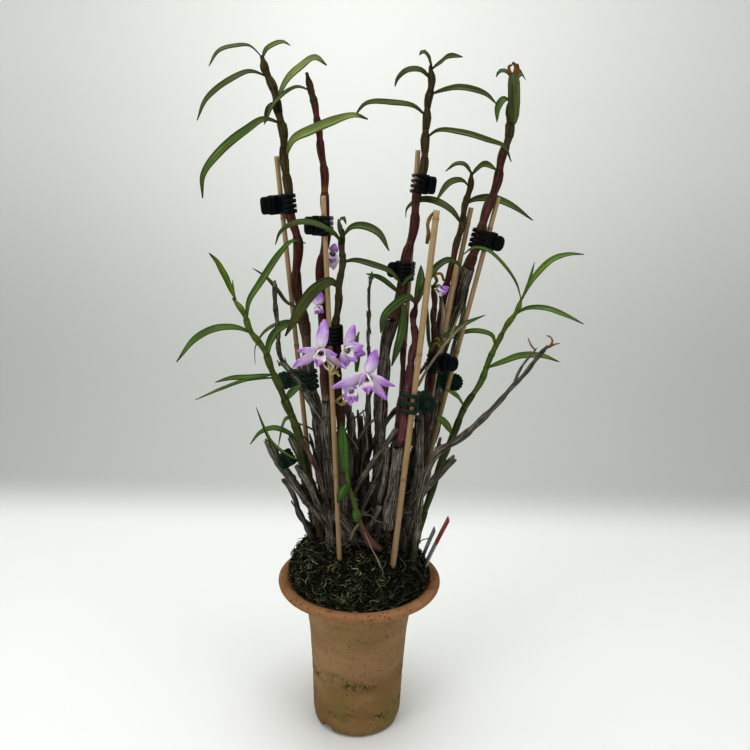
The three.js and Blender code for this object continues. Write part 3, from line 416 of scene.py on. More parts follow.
BLACK = {"colour": "clip_black", "length": 16, "reach": 8}
GREEN = {"colour": "clip_green", "length": 17, "reach": 14}
CLIPS = {
    "clip_1": clip(BLACK, 478, 160, LEFT, "cane_1", "stake_1"),
    "clip_2": clip(BLACK, 461, 150, LEFT, "cane_2", "stake_2"),
    "clip_3": clip(BLACK, 497, 20, RIGHT, "cane_3", "stake_3"),
    "clip_4": clip(BLACK, 452, 30, LEFT, "cane_5", "stake_5"),
    "clip_5": clip(BLACK, 371, 90, LEFT, "cane_8", "stake_2"),
    "clip_6": clip(BLACK, 423, 160, RIGHT, "cane_3", "stake_3"),
    "clip_7": clip(BLACK, 347, 28, LEFT, "cane_10", "stake_6"),
    "clip_8": clip(GREEN, 327, 150, LEFT, "cane_1", "stake_1"),
    "clip_9": clip(GREEN, 318, 20, LEFT, "cane_9", "stake_4"),
    "clip_10": clip(GREEN, 326, 20, RIGHT, "cane_5", "stake_7"),
}

# Labels: the middle of the foot and of the top, and the width along Y.
LABELS = {
    "label_grey": {"foot": [57, 10, 152], "top": [69, 10, 187], "width": 12, "colour": "8d8f92"},
    "label_red": {"foot": [58, -3, 150], "top": [80, -3, 203], "width": 12, "colour": "a23a32"},
}


# The leaves' greens by cane, with the leaves that catch the light by their place in the list.
LEAF_GREENS = {
    "cane_1": ("404f26", {3: "84925c", 6: "76864a", 1: "596b33", 5: "485d2a"}),
    "cane_2": ("4b592a", {}),
    "cane_3": ("3e4921", {}),
    "cane_4": ("3b4922", {3: "43592a"}),
    "cane_5": ("435a26", {0: "475331"}),
    "cane_6": ("4e6627", {1: "5c7729"}),
    "cane_7": ("486227", {0: "607824"}),
    "cane_8": ("364420", {5: "424421"}),
    "cane_9": ("354721", {1: "3f5323"}),
    "cane_10": ("405927", {}),
    "cane_11": ("344a1c", {}),
    "keiki": ("30531d", {2: "2c4a16"}),
}

# A cane's colours from the foot up: height, colour.
OLIVE, MAROON, GREY_BARK = "3f3724", "471d24", "948c80"
CANE_COLOURS = {
    "cane_1": [(200, "7c7469"), (330, GREY_BARK), (372, "4e3831"), (400, MAROON), (462, "4c2525"), (480, "443820"),
               (560, "3b3320"), (600, "392e1c")],
    "cane_2": [(200, "8b8377"), (308, GREY_BARK), (320, "4b2a2a"), (400, "481926"), (483, "4c1d25"), (487, "63301f"),
               (491, "7e4a2e"), (493, "5a2a20"), (495, "4a171f"), (548, "521f29"), (558, "3c2e1e"), (578, "3e281e"), (590, "48171e")],
    "cane_3": [(200, "938b80"), (345, "90887e"), (362, "4e3131"), (440, "482026"), (472, "4a2024"), (477, "6b3030"), (480, "432226"),
               (489, "4a2a26"), (500, "453823"),
               (560, "362c1d"), (600, "32251c")],
    "cane_4": [(200, "756c60"), (330, "6d6258"), (370, "49252a"), (432, "451d22"), (440, "5f2a2a"), (446, "3f2e20"),
               (470, "3d3420"), (494, "362a1e"), (510, "2f261c")],
    "cane_5": [(200, "979084"), (340, "8b8377"), (400, "74665b"), (432, "4e2d2d"), (505, "4c2024"), (522, "512826"),
               (530, "39321e"), (545, "393920"), (590, "4b3b20")],
    "cane_6": [(190, "2f3f20"), (300, "3b5225"), (400, "58762f")],
    "cane_7": [(190, "3b2a24"), (250, "343c22"), (320, "374620"), (360, "475928"), (400, "5a7230")],
    "cane_8": [(200, "6b6358"), (300, "35181d"), (370, "391b1f"), (395, "382f20"), (460, "343a24")],
    "cane_9": [(200, "a09a8e"), (276, "aaa498"), (280, "2a2320"), (284, "6a3c46"), (330, "603444"), (400, "4c222e")],
    "cane_10": [(200, "6b6257"), (300, "412524"), (345, "391a1d"), (410, "3e2c20")],
    "cane_11": [(200, "675f54"), (300, "412024"), (420, "3a1f22")],
}
BARK_FOOT = {"cane_9": 197}  # where a dry sheath was cut off below
# How much thicker the living canes look than their plain solids, with their leaf sheaths on.
FULLER = {"cane_1": 1.08, "cane_2": 1.24, "cane_3": 1.2, "cane_4": 1.15, "cane_5": 1.16, "cane_8": 1.15, "cane_9": 1.08,
          "stake_4": 1.22}
BARK_TOP = {"cane_1": 350, "cane_2": 314, "cane_3": 384, "cane_4": 340, "cane_5": 430, "cane_8": 240,
            "cane_9": 281, "cane_10": 290, "cane_11": 280}

# ---- Meshes ----


class Skin:
    """Collects surfaces with a colour and a grain coordinate at each vertex, as one piece."""

    def __init__(self):
        self.points, self.tints, self.grains = [], [], []
        self.faces, self.slots = [], []
        self.count = 0

    def add(self, points, faces, tint, grain, slot=0):
        points = np.asarray(points, float).reshape(-1, 3)
        self.points.append(points)
        self.tints.append(np.broadcast_to(tint, points.shape))
        self.grains.append(np.broadcast_to(grain, points.shape))
        self.faces.extend(tuple(int(i) + self.count for i in face) for face in faces)
        self.slots.extend([slot] * len(faces))
        self.count += len(points)

    def rings(self, rings, tint, grain, slot=0):
        """A closed skin over rings of points, with a flat cap at each end."""
        n, m = rings.shape[:2]
        index = np.arange(n * m).reshape(n, m)
        a, b = index[:-1], np.roll(index, -1, axis=1)[:-1]
        c, d = np.roll(index, -1, axis=1)[1:], index[1:]
        faces = np.stack([a, b, c, d], -1).reshape(-1, 4).tolist()
        faces += [index[0, ::-1].tolist(), index[-1].tolist()]
        self.add(rings, faces, np.reshape(tint, (-1, 3)), np.reshape(grain, (-1, 3)), slot)

    def slab(self, grid, thickness, tint, grain, slot=0):
        """A thin closed plate along a grid of points."""
        n, m = grid.shape[:2]
        along = np.gradient(grid, axis=0)
        across = np.gradient(grid, axis=1)
        normal = np.cross(along, across)
        normal /= np.maximum(np.linalg.norm(normal, axis=2, keepdims=True), 1e-9)
        half = normal * np.reshape(thickness, (-1, 1, 1)) / 2
        points = np.concatenate([grid + half, grid - half]).reshape(-1, 3)
        index = np.arange(2 * n * m).reshape(2, n, m)
        top, low = index
        quads = [
            np.stack([top[:-1, :-1], top[1:, :-1], top[1:, 1:], top[:-1, 1:]], -1),
            np.stack([low[:-1, :-1], low[:-1, 1:], low[1:, 1:], low[1:, :-1]], -1),
            np.stack([top[:-1, 0], low[:-1, 0], low[1:, 0], top[1:, 0]], -1),
            np.stack([top[:-1, -1], top[1:, -1], low[1:, -1], low[:-1, -1]], -1),
            np.stack([top[0, :-1], top[0, 1:], low[0, 1:], low[0, :-1]], -1),
            np.stack([top[-1, :-1], low[-1, :-1], low[-1, 1:], top[-1, 1:]], -1),
        ]
        faces = np.concatenate([q.reshape(-1, 4) for q in quads]).tolist()
        tint = np.broadcast_to(tint, grid.shape).reshape(-1, 3)
        grain = np.broadcast_to(grain, grid.shape).reshape(-1, 3)
        self.add(points, faces, np.concatenate([tint, tint * 1.1]), np.concatenate([grain, grain]), slot)

    def piece(self, name, materials, body, slot, *nodes):
        mesh = bpy.data.meshes.new(name)
        points = np.concatenate(self.points) * MM + POT_AXIS
        mesh.from_pydata(points.tolist(), [], self.faces)
        for material in materials:
            mesh.materials.append(material)
        mesh.polygons.foreach_set("material_index", self.slots)
        mesh.polygons.foreach_set("use_smooth", [True] * len(self.faces))
        tint = mesh.attributes.new("tint", "FLOAT_COLOR", "POINT")
        colours = np.concatenate([np.concatenate(self.tints), np.ones((self.count, 1))], axis=1)
        tint.data.foreach_set("color", colours.astype(np.float32).ravel())
        grain = mesh.attributes.new("grain", "FLOAT_VECTOR", "POINT")
        grain.data.foreach_set("vector", np.concatenate(self.grains).astype(np.float32).ravel())
        mesh.validate()
        obj = bpy.data.objects.new(name, mesh)
        bpy.context.scene.collection.objects.link(obj)
        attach(obj, body)
        if nodes:
            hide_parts(*nodes)
        return obj


# ---- Curves ----
FINE = 40  # samples between two route points


def route_curve(points, step):
    """Evenly spaced points on the smooth curve through a route, their tangents and distances."""
    p = np.asarray(points, float)
    p = np.vstack([2 * p[0] - p[1], p, 2 * p[-1] - p[-2]])
    knots = np.sqrt(np.maximum(np.linalg.norm(np.diff(p, axis=0), axis=1), 1e-6))
    fine = []
    u = np.linspace(0, 1, FINE, endpoint=False)[:, None]
    for i in range(1, len(p) - 2):
        d0, d1, d2 = knots[i - 1], knots[i], knots[i + 1]
        m1 = (p[i] - p[i - 1]) / d0 - (p[i + 1] - p[i - 1]) / (d0 + d1) + (p[i + 1] - p[i]) / d1
        m2 = (p[i + 1] - p[i]) / d1 - (p[i + 2] - p[i]) / (d1 + d2) + (p[i + 2] - p[i + 1]) / d2
        m1, m2 = m1 * d1, m2 * d1
        a, b = 2 * (p[i] - p[i + 1]) + m1 + m2, 3 * (p[i + 1] - p[i]) - 2 * m1 - m2
        fine.append(a * u**3 + b * u**2 + m1 * u + p[i])
    fine = np.vstack([*fine, p[-2]])
    run = np.concatenate([[0], np.cumsum(np.linalg.norm(np.diff(fine, axis=0), axis=1))])
    count = max(2, int(round(run[-1] / step)))
    along = np.linspace(0, run[-1], count + 1)
    spots = np.stack([np.interp(along, run, fine[:, k]) for k in range(3)], 1)
    tangents = np.gradient(spots, axis=0)
    tangents /= np.linalg.norm(tangents, axis=1, keepdims=True)
    return spots, tangents, along


def cross_frames(tangents):
    """Two unit vectors across each tangent, turning no more than they must."""
    start = np.array([0.0, -1.0, 0.0]) if abs(tangents[0][1]) < 0.9 else np.array([1.0, 0, 0])
    normals = []
    n = start
    for t in tangents:
        n = n - t * n.dot(t)
        n = n / np.linalg.norm(n)
        normals.append(n)
    normals = np.array(normals)
    return normals, np.cross(tangents, normals)


def turned(spots, tangents, radii, turns):
    """Rings of points round a curve. radii is one for each ring, or one for each point."""
    normals, sides = cross_frames(tangents)
    radii = np.broadcast_to(np.reshape(radii, (len(spots), -1)), (len(spots), len(turns)))
    out = normals[:, None] * np.cos(turns)[None, :, None] + sides[:, None] * np.sin(turns)[None, :, None]
    return spots[:, None] + out * radii[..., None], out


def full_turn(sides):
    return np.linspace(0, 2 * math.pi, sides, endpoint=False)


GRAIN_MM = 10.0  # one unit of grain along a stem


def stem_grain(turns, along, seed=0.0):
    grain = np.empty((len(along), len(turns), 3))
    grain[..., 0] = np.cos(turns)[None, :] + seed
    grain[..., 1] = np.sin(turns)[None, :]
    grain[..., 2] = along[:, None] / GRAIN_MM
    return grain


def colour_at(stops, x):
    heights = [s[0] for s in stops]
    colours = np.array([srgb(s[1]) for s in stops])
    return np.stack([np.interp(x, heights, colours[:, k]) for k in range(3)], -1)


def girth_at(girth, t):
    return np.interp(t, [0, 0.5, 1], girth)


def route_at(route, height):
    """The centre and direction of a route at a height, and its share of the length."""
    spots, tangents, along = route_curve(route, 1.0)
    i = int(np.argmin(np.abs(spots[:, 2] - height)))
    return spots[i], tangents[i], along[i] / along[-1]


# ---- Stems ----
CANE_SIDES = 18
CANE_STEP = 1.35
STEM, LEAF, BARK = 0, 1, 2
TIP_GAP, GAP_GROWTH, LONGEST_GAP = 13.0, 1.11, 38.0  # between nodes, from the tip down
SHEATH_PROUD = {"cane_9": 1.2, "cane_5": 0.9, "cane_1": 0.7}  # how far a dry sheath stands off its cane


def node_spots(length):
    """Where a cane's nodes are along it: close together at the tip, further apart lower down."""
    spots, gap, at = [], TIP_GAP, length - 5.0
    while at > 0:
        spots.append(at)
        gap = min(LONGEST_GAP, gap * GAP_GROWTH)
        at -= gap
    return np.array([at, *spots[::-1], length + TIP_GAP])


def node_profile(phase, pitch):
    """A cane's girth over one internode: slim above a node, club-shaped, with a ridge at the node."""
    edge = np.minimum(phase, 1 - phase) * pitch
    club = 0.83 + 0.26 * smooth(0.02, 0.75, phase) - 0.15 * smooth(0.88, 1.0, phase)
    return club + 0.06 * np.exp(-((edge / 1.2) ** 2))


def tip_taper(rest):
    """How a cane narrows over the last of its length."""
    return 0.5 + 0.5 * smooth(-1, 10, rest)


def cane_curve(cane):
    """A cane's middle line, a little bent from node to node, with each point's internode and place in it."""
    spots, tangents, along = route_curve(cane["route"], CANE_STEP)
    nodes = node_spots(along[-1])
    number = np.clip(np.searchsorted(nodes, along, side="right") - 1, 0, len(nodes) - 2)
    pitch = nodes[number + 1] - nodes[number]
    phase = (along - nodes[number]) / pitch
    zigzag = 0.8 * np.cos(np.pi * number) * np.sin(np.pi * phase)
    return spots + np.outer(zigzag, [1, 0, 0]), tangents, along, number, pitch, phase


def cane_stem(skin, name, cane):
    spots, tangents, along, number, pitch, phase = cane_curve(cane)
    length = along[-1]
    turns = full_turn(CANE_SIDES)
    radii = girth_at(cane["girth"], along / length) * node_profile(phase, pitch) * FULLER.get(name, 1.0)
    radii *= tip_taper(length - along)
    spin = rng.uniform(0, 6)
    ribs = 1 + 0.028 * np.cos(7 * turns[None, :] + spin + 0.5 * number[:, None])
    tint = colour_at(CANE_COLOURS[name], spots[:, 2])
    lively = np.array([0.82 + 0.36 * math.sin(2.4 * k + spin) ** 2 for k in number])
    above, below = phase * pitch, (1 - phase) * pitch
    tint = tint * lively[:, None] * (1 - 0.25 * smooth(0.5, 1, phase))[:, None]
    tint = mix(tint, tint * 1.8 + 0.01, (0.5 * np.exp(-(((above - 2.1) / 0.9) ** 2)))[:, None])
    tint = mix(tint, srgb("150d0a"), (0.85 * np.exp(-((np.minimum(above, below) / 0.7) ** 2)))[:, None])
    bark_top = BARK_TOP.get(name, 0)
    bark_foot = BARK_FOOT.get(name, 0)
    living = spots[:, 2] > bark_top - 3
    if bark_foot:
        bare = spots[:, 2] < bark_foot + 6
        stump_rings, _ = turned(spots[bare], tangents[bare], 0.55 * radii[bare], turns)
        skin.rings(stump_rings, np.broadcast_to(srgb("2a1c16"), stump_rings.shape), stump_rings / GRAIN_MM, STEM)
    rings, _ = turned(spots, tangents, radii[:, None] * ribs, turns)
    grain = stem_grain(turns, along, spin)
    tint = np.repeat(tint[:, None], CANE_SIDES, axis=1)
    skin.rings(rings[living], tint[living], grain[living], STEM)
    dry = (spots[:, 2] < bark_top) & (spots[:, 2] > bark_foot)
    if dry.sum() > 3:
        proud = SHEATH_PROUD.get(name, 0.5)
        dry_sheath(skin, spots[dry], tangents[dry], along[dry], radii[dry] + proud, tint[dry, 0], spin)


DRY_SIDES = 26


def dry_sheath(skin, spots, tangents, along, radii, tint, spin):
    """The papery sheath on a cane's lower part: fluted, and torn at its upper edge."""
    turns = full_turn(DRY_SIDES)
    flute = 0.05 * np.cos(9 * turns + spin) + 0.03 * np.cos(14 * turns + 2 * spin)
    ribs = 1 + flute[None, :] * (0.8 + 0.4 * np.sin(along[:, None] * 0.09 + turns[None, :]))
    rings, _ = turned(spots, tangents, radii[:, None] * ribs, turns)
    torn = np.array([rng.uniform(0, 5.0) for _ in turns])
    rest = along[-1] - along
    pull = np.exp(-rest / 5.0)[:, None] * torn[None, :]
    rings = rings - tangents[:, None] * pull[..., None]
    tint = np.repeat(tint[:, None], DRY_SIDES, axis=1)
    # Lighter on the flutes' crests and darker in their grooves: painted highlight and painted shade.
    tint = tint * np.clip(1 + 12 * (ribs - 1), 0.16, 1.45)[..., None]
    tint = tint * (1 - 0.75 * np.exp(-rest / 1.2))[:, None, None]
    skin.rings(rings, tint, stem_grain(turns, along, spin), BARK)


# ---- Leaves ----
BLADE_SHAPE = [(0, 0.4), (0.06, 0.42), (0.2, 0.78), (0.42, 0.97), (0.66, 0.88), (0.86, 0.5), (0.95, 0.24), (1, 0.12)]
BLADE_COLUMNS = 11
BLADE_STEP = 2.9
BLADE_THICK = 0.6
BROWN_FOOT = 0.22  # how much of a leaf has its cane's colour
FRONT = np.array([0.0, -1.0, 0.0])
UP = np.array([0.0, 0.0, 1.0])


def blade_width(t):
    xs, ys = zip(*BLADE_SHAPE)
    fine = np.linspace(0, 1, 60)
    soft = np.interp(fine, xs, ys)
    for _ in range(6):
        soft[1:-1] = (soft[:-2] + 2 * soft[1:-1] + soft[2:]) / 4
    return np.interp(t, fine, soft)


def leaf_blade(skin, points, width, face, colour, fold=0.2, foot=None):
    """A strap leaf, folded into a channel at its foot and flatter further out."""
    spots, tangents, along = route_curve(points, BLADE_STEP)
    share = along / along[-1]
    chord = np.asarray(points[-1], float) - np.asarray(points[0], float)
    side = np.cross(chord, UP)
    if np.linalg.norm(side) < 0.2 * np.linalg.norm(chord):
        side = np.array([1.0, 0, 0])
    side /= np.linalg.norm(side)
    flat = side - tangents * (tangents @ side)[:, None]
    flat /= np.linalg.norm(flat, axis=1, keepdims=True)
    up = np.cross(flat, tangents)
    turn = np.where(flat @ FRONT > 0, math.radians(face), -math.radians(face))[:, None]
    flat, up = flat * np.cos(turn) - up * np.sin(turn), up * np.cos(turn) + flat * np.sin(turn)
    half = width / 2 * blade_width(share)
    across = np.linspace(-1, 1, BLADE_COLUMNS)
    channel = fold * (1 + 2.2 * np.exp(-share * 6))
    ripple = 0.07 * np.sin(share * 15 + width)[:, None] * across[None, :] ** 2
    rise = half[:, None] * (channel[:, None] * np.abs(across)[None, :] ** 1.3 + ripple)
    narrow = half * np.cos(np.arctan(channel))
    grid = spots[:, None] + flat[:, None] * (narrow[:, None] * across)[..., None] + up[:, None] * rise[..., None]
    tint = np.broadcast_to(srgb(colour), grid.shape).copy()
    edge = np.abs(across)[None, :, None]
    # A painted highlight: a lighter stripe along one side of the blade's upper face.
    painted_highlight = np.exp(-(((across - 0.35) / 0.22) ** 2))[None, :, None] * np.sin(np.pi * np.clip(share * 1.1, 0, 1))[:, None, None]
    tint = mix(tint, tint * 1.5 + srgb("5c664c") * 0.5, 0.62 * painted_highlight)
    tint = mix(tint, tint * 0.5, np.exp(-((across / 0.09) ** 2))[None, :, None] * 0.7)
    tint = tint * (1 - 0.8 * edge**4) * (0.84 + 0.3 * np.sin(5 * share + width)[:, None, None] ** 2)
    tint = mix(tint, srgb("120d0a"), smooth(0.86, 0.96, share)[:, None, None] * 0.95)
    if foot is not None:
        tint = mix(tint, foot, (0.85 * (1 - smooth(0, BROWN_FOOT, share)))[:, None, None])
    grain = np.empty_like(grid)
    grain[..., 0] = across[None, :] * width / 2
    grain[..., 1] = width + points[0][0] * 0.1
    grain[..., 2] = along[:, None] / GRAIN_MM
    thick = BLADE_THICK * (0.35 + 0.65 * blade_width(share))
    skin.slab(grid, thick, tint, grain, LEAF)


COLLAR = 10.0  # a leaf's sheath below its blade
POD = ("cane_5", 0)  # a leaf still rolled up round a bud
WIDER = {("cane_3", 0): 1.5, ("cane_3", 1): 1.2}


def pod(skin, points, colour):
    """A fat rolled leaf, with a crease down its front and a dry brown tip."""
    spots, tangents, along = route_curve(POD_ROUTE, 1.2)
    t = along / along[-1]
    turns = full_turn(28)
    radii = np.interp(t, [0, 0.06, 0.2, 0.45, 0.8, 0.94, 1], [0.9, 2.6, 4.3, 5.0, 4.9, 3.9, 2.2])
    crease = np.exp(-(((turns - 4.9) / 0.22) ** 2)) + 0.6 * np.exp(-(((turns - 4.0) / 0.2) ** 2))
    rings, _ = turned(spots, tangents, radii[:, None] * (1 - 0.1 * crease)[None, :], turns)
    middle = spots[:, None, 1]
    rings[..., 1] = middle + 0.72 * (rings[..., 1] - middle)
    # Darker along the crease where the rolled edges meet: painted shade.
    tint = colour * (1 - 0.55 * crease)[None, :, None] * (0.9 + 0.25 * np.sin(7 * turns)[None, :, None] ** 2)
    tint = mix(tint * np.ones((len(t), 1, 1)), colour * 0.35, (1 - smooth(0, 0.12, t))[:, None, None])
    skin.rings(rings, tint, stem_grain(turns, along, 1.0), LEAF)
    for route, radii in DRY_TIPS:
        round_stem(skin, route, radii, [(0, "5a3a22"), (0.5, "8f6238"), (1, "4f2f1c")], 0.7, 9)


POD_ROUTE = [[118, 5, 544], [117.5, 3, 553], [116.5, 1, 565], [115.5, 0, 576], [114.5, 0, 584]]
DRY_TIPS = [
    ([[114.5, -1, 581], [116, -1, 585], [115.5, -2, 589], [113, -2, 591]], [1.5, 1.8, 1.5, 0.9]),
    ([[113.5, -1, 581], [111, -2, 585], [110.5, -3, 588], [113, -3, 589]], [1.2, 1.4, 1.2, 0.7]),
    ([[114.5, -1, 581], [118, -2, 584], [117, -3, 590]], [1.0, 1.3, 0.8]),
]


def leaf_collar(skin, name, cane, height):
    """The thin sheath that clasps the cane under a leaf."""
    _, _, share = route_at(cane["route"], height)
    spots, tangents, along, _, pitch, phase = cane_curve(cane)
    stop = share * along[-1]
    keep = (along > stop - COLLAR) & (along < stop + 1.5)
    if keep.sum() < 4:
        return
    spots, tangents, run = spots[keep], tangents[keep], along[keep]
    t = np.linspace(0, 1, len(run))
    radii = girth_at(cane["girth"], run / along[-1]) * node_profile(phase[keep], pitch[keep]) * FULLER.get(name, 1.0)
    radii = radii * (1 + 0.05 * t) + 0.25
    radii *= tip_taper(along[-1] - run)
    turns = full_turn(CANE_SIDES)
    rings, _ = turned(spots, tangents, radii, turns)
    own = colour_at(CANE_COLOURS[name], spots[:, 2])
    own = mix(own, own * 1.3, t[:, None])
    own = mix(own, srgb("20150f"), smooth(0.9, 1, t)[:, None] * 0.7)
    skin.rings(rings, np.repeat(own[:, None], CANE_SIDES, axis=1), stem_grain(turns, run, 3.0), STEM)


def leafy_cane(name, cane):
    skin = Skin()
    cane_stem(skin, name, cane)
    usual, special = LEAF_GREENS[name]
    for i, leaf_data in enumerate(cane["leaves"]):
        centre, _, _ = route_at(cane["route"], leaf_data["height"])
        points = [tuple(centre), *leaf_data["points"]]
        foot = colour_at(CANE_COLOURS[name], leaf_data["height"])
        if (name, i) == POD:
            pod(skin, points, srgb(special[i]))
        else:
            width = leaf_data["width"] * WIDER.get((name, i), 0.95)
            leaf_blade(skin, points, width, leaf_data["face"], special.get(i, usual), 0.22, foot)
        leaf_collar(skin, name, cane, leaf_data["height"])
    skin.piece(name + "_skin", [STEM_FINISH, LEAF_FINISH, BARK_FINISH], PLANT, "leafy_cane", name)


# ---- Old canes ----
OLD_SIDES = 22
OLD_STEP = 1.8
OLD_GIRTH = 1.3  # with the dry sheaths that the plain canes leave out
OLD_GREYS = ["a4a392", "8a887a", "b4b4a4", "797466", "9b9889", "bebeae"]
PAPER = ["c6c0b2", "aaa496", "d8d3c7", "978f80"]
CHARRED = "17130f"
OLD_TINTS = {("old_canes_front", 0): "6b2836", ("old_cane_branch", 0): "7d7566"}  # canes with a colour of their own


def clump_shade(spots):
    """Painted shade on old canes: darker towards the back of the clump below its tops, and near the moss; the front and
    the tops are left lighter.
    """
    inside = smooth(-18, 14, spots[:, 1]) * (1 - smooth(250, 330, spots[:, 2]))
    low = 1 - smooth(176, 215, spots[:, 2])
    return (1.0 - 0.82 * inside) * (1 - 0.45 * low)


def settled(route):
    """The old canes' feet, a little further back than their plain solids' where those stand well forward."""
    points = np.array(route, float)
    foot = 1 - smooth(175, 240, points[:, 2])
    points[:, 1] = mix(points[:, 1], np.maximum(points[:, 1], 0), foot)
    return points


def old_stem(skin, data, seed, mottled=False, own=None, step=OLD_STEP, sides=OLD_SIDES):
    """A dry cane: fluted, with dark rings at its nodes and papery sheaths."""
    spots, tangents, along = route_curve(settled(data["route"]), step)
    length = along[-1]
    nodes = node_spots(length)
    number = np.clip(np.searchsorted(nodes, along, side="right") - 1, 0, len(nodes) - 2)
    pitch = nodes[number + 1] - nodes[number]
    phase = (along - nodes[number]) / pitch
    turns = full_turn(sides)
    girth = mix(OLD_GIRTH, 0.9 * OLD_GIRTH, smooth(0.4, 1, along / length)) * mix(1, 0.72, smooth(295, 340, spots[:, 2]))
    radii = mix(data["thick"], data["thin"], along / length) * girth * node_profile(phase, pitch)
    radii *= 1 - 0.35 * smooth(length - 4, length + 0.1, along)
    bend = 0.7 * np.sin(along * 0.11 + seed)
    spots = spots + np.outer(bend, [1, 0, 0]) + np.outer(0.5 * np.cos(along * 0.17 + seed), [0, 1, 0])
    spin = seed * 1.7
    ribs = 1 + 0.07 * np.cos(8 * turns[None, :] + spin + 0.8 * number[:, None])
    ribs += 0.04 * np.cos(13 * turns[None, :] + 2 * spin + 0.06 * along[:, None])
    rings, _ = turned(spots, tangents, radii[:, None] * ribs, turns)
    tint = np.array([srgb(OLD_GREYS[int(k * 2 + seed) % len(OLD_GREYS)]) for k in number])
    tint = mix(tint, srgb(CHARRED), 0.5 * np.exp(-((np.minimum(phase, 1 - phase) * pitch / 0.9) ** 2))[:, None])
    if own:
        tint = mix(tint, srgb(own), 0.9)
    # Painted shade: darker inside the clump and near the moss, except on the mottled cane.
    tint = tint * (clump_shade(spots) if not mottled else 1.0 + 0 * along)[:, None]
    tint = np.repeat(tint[:, None], sides, axis=1)
    if mottled:
        patch = np.sin(along * 0.42 + seed) + 0.6 * np.sin(along * 1.3) + 0.4 * np.sin(along * 2.9)
        patch = patch[:, None] + 0.7 * np.cos(2 * turns[None, :] + 0.4 * along[:, None])
        patch = smooth(0.0, 0.2, patch) * smooth(300, 325, spots[:, 2])[:, None]
        tint = mix(tint * 1.5, srgb(CHARRED), patch[..., None])
    # Lighter on the flutes' crests and darker in their grooves: painted highlight and painted shade.
    tint = tint * np.clip(1 + 12 * (ribs - 1), 0.14, 1.5)[..., None]
    skin.rings(rings, tint, stem_grain(turns, along, seed), STEM)
    start = length if own else 0.0
    while start < length - 10:
        span = rng.uniform(12, 30)
        if rng.random() < 0.7:
            old_sheath(skin, spots, tangents, along, radii, start + 0.5, min(start + span, length - 1))
        start += span * 0.9


SHEATH_ROWS = 9


def old_sheath(skin, spots, tangents, along, radii, start, stop):
    """A papery sheath that still wraps part of an old cane, with a torn upper edge."""
    keep = (along >= start) & (along <= stop)
    if keep.sum() < 2:
        return
    s, t, run, r = spots[keep], tangents[keep], along[keep], radii[keep]
    first = rng.uniform(0, 2 * math.pi)
    turns = first + np.linspace(0, math.radians(rng.uniform(110, 300)), SHEATH_ROWS)
    share = np.linspace(0, 1, len(run))
    flare = 0.3 + rng.uniform(0, 1.8) * share**3
    grid, _ = turned(s, t, r + flare, turns)
    torn = np.array([rng.uniform(0, 0.5) for _ in turns])
    pull = (share**3)[:, None] * torn[None, :]
    grid = grid - t[:, None] * (pull * (stop - start))[..., None]
    colour = srgb(rng.choice(PAPER)) * rng.uniform(0.5, 1.1)
    streak = 0.7 + 0.4 * np.cos(5 * turns + first)[None, :, None]
    # Painted shade inside the clump and near the moss, as on the canes.
    shade = clump_shade(s)[:, None, None]
    skin.slab(grid, 0.25, colour * streak * shade, stem_grain(turns, run, first), STEM)


def old_canes(name, stems):
    skin = Skin()
    for i, data in enumerate(stems):
        old_stem(skin, data, i + len(name), name == "old_cane_tall", OLD_TINTS.get((name, i)))
    skin.piece(name + "_skin", [BARK_FINISH], PLANT, "old_cane", name)


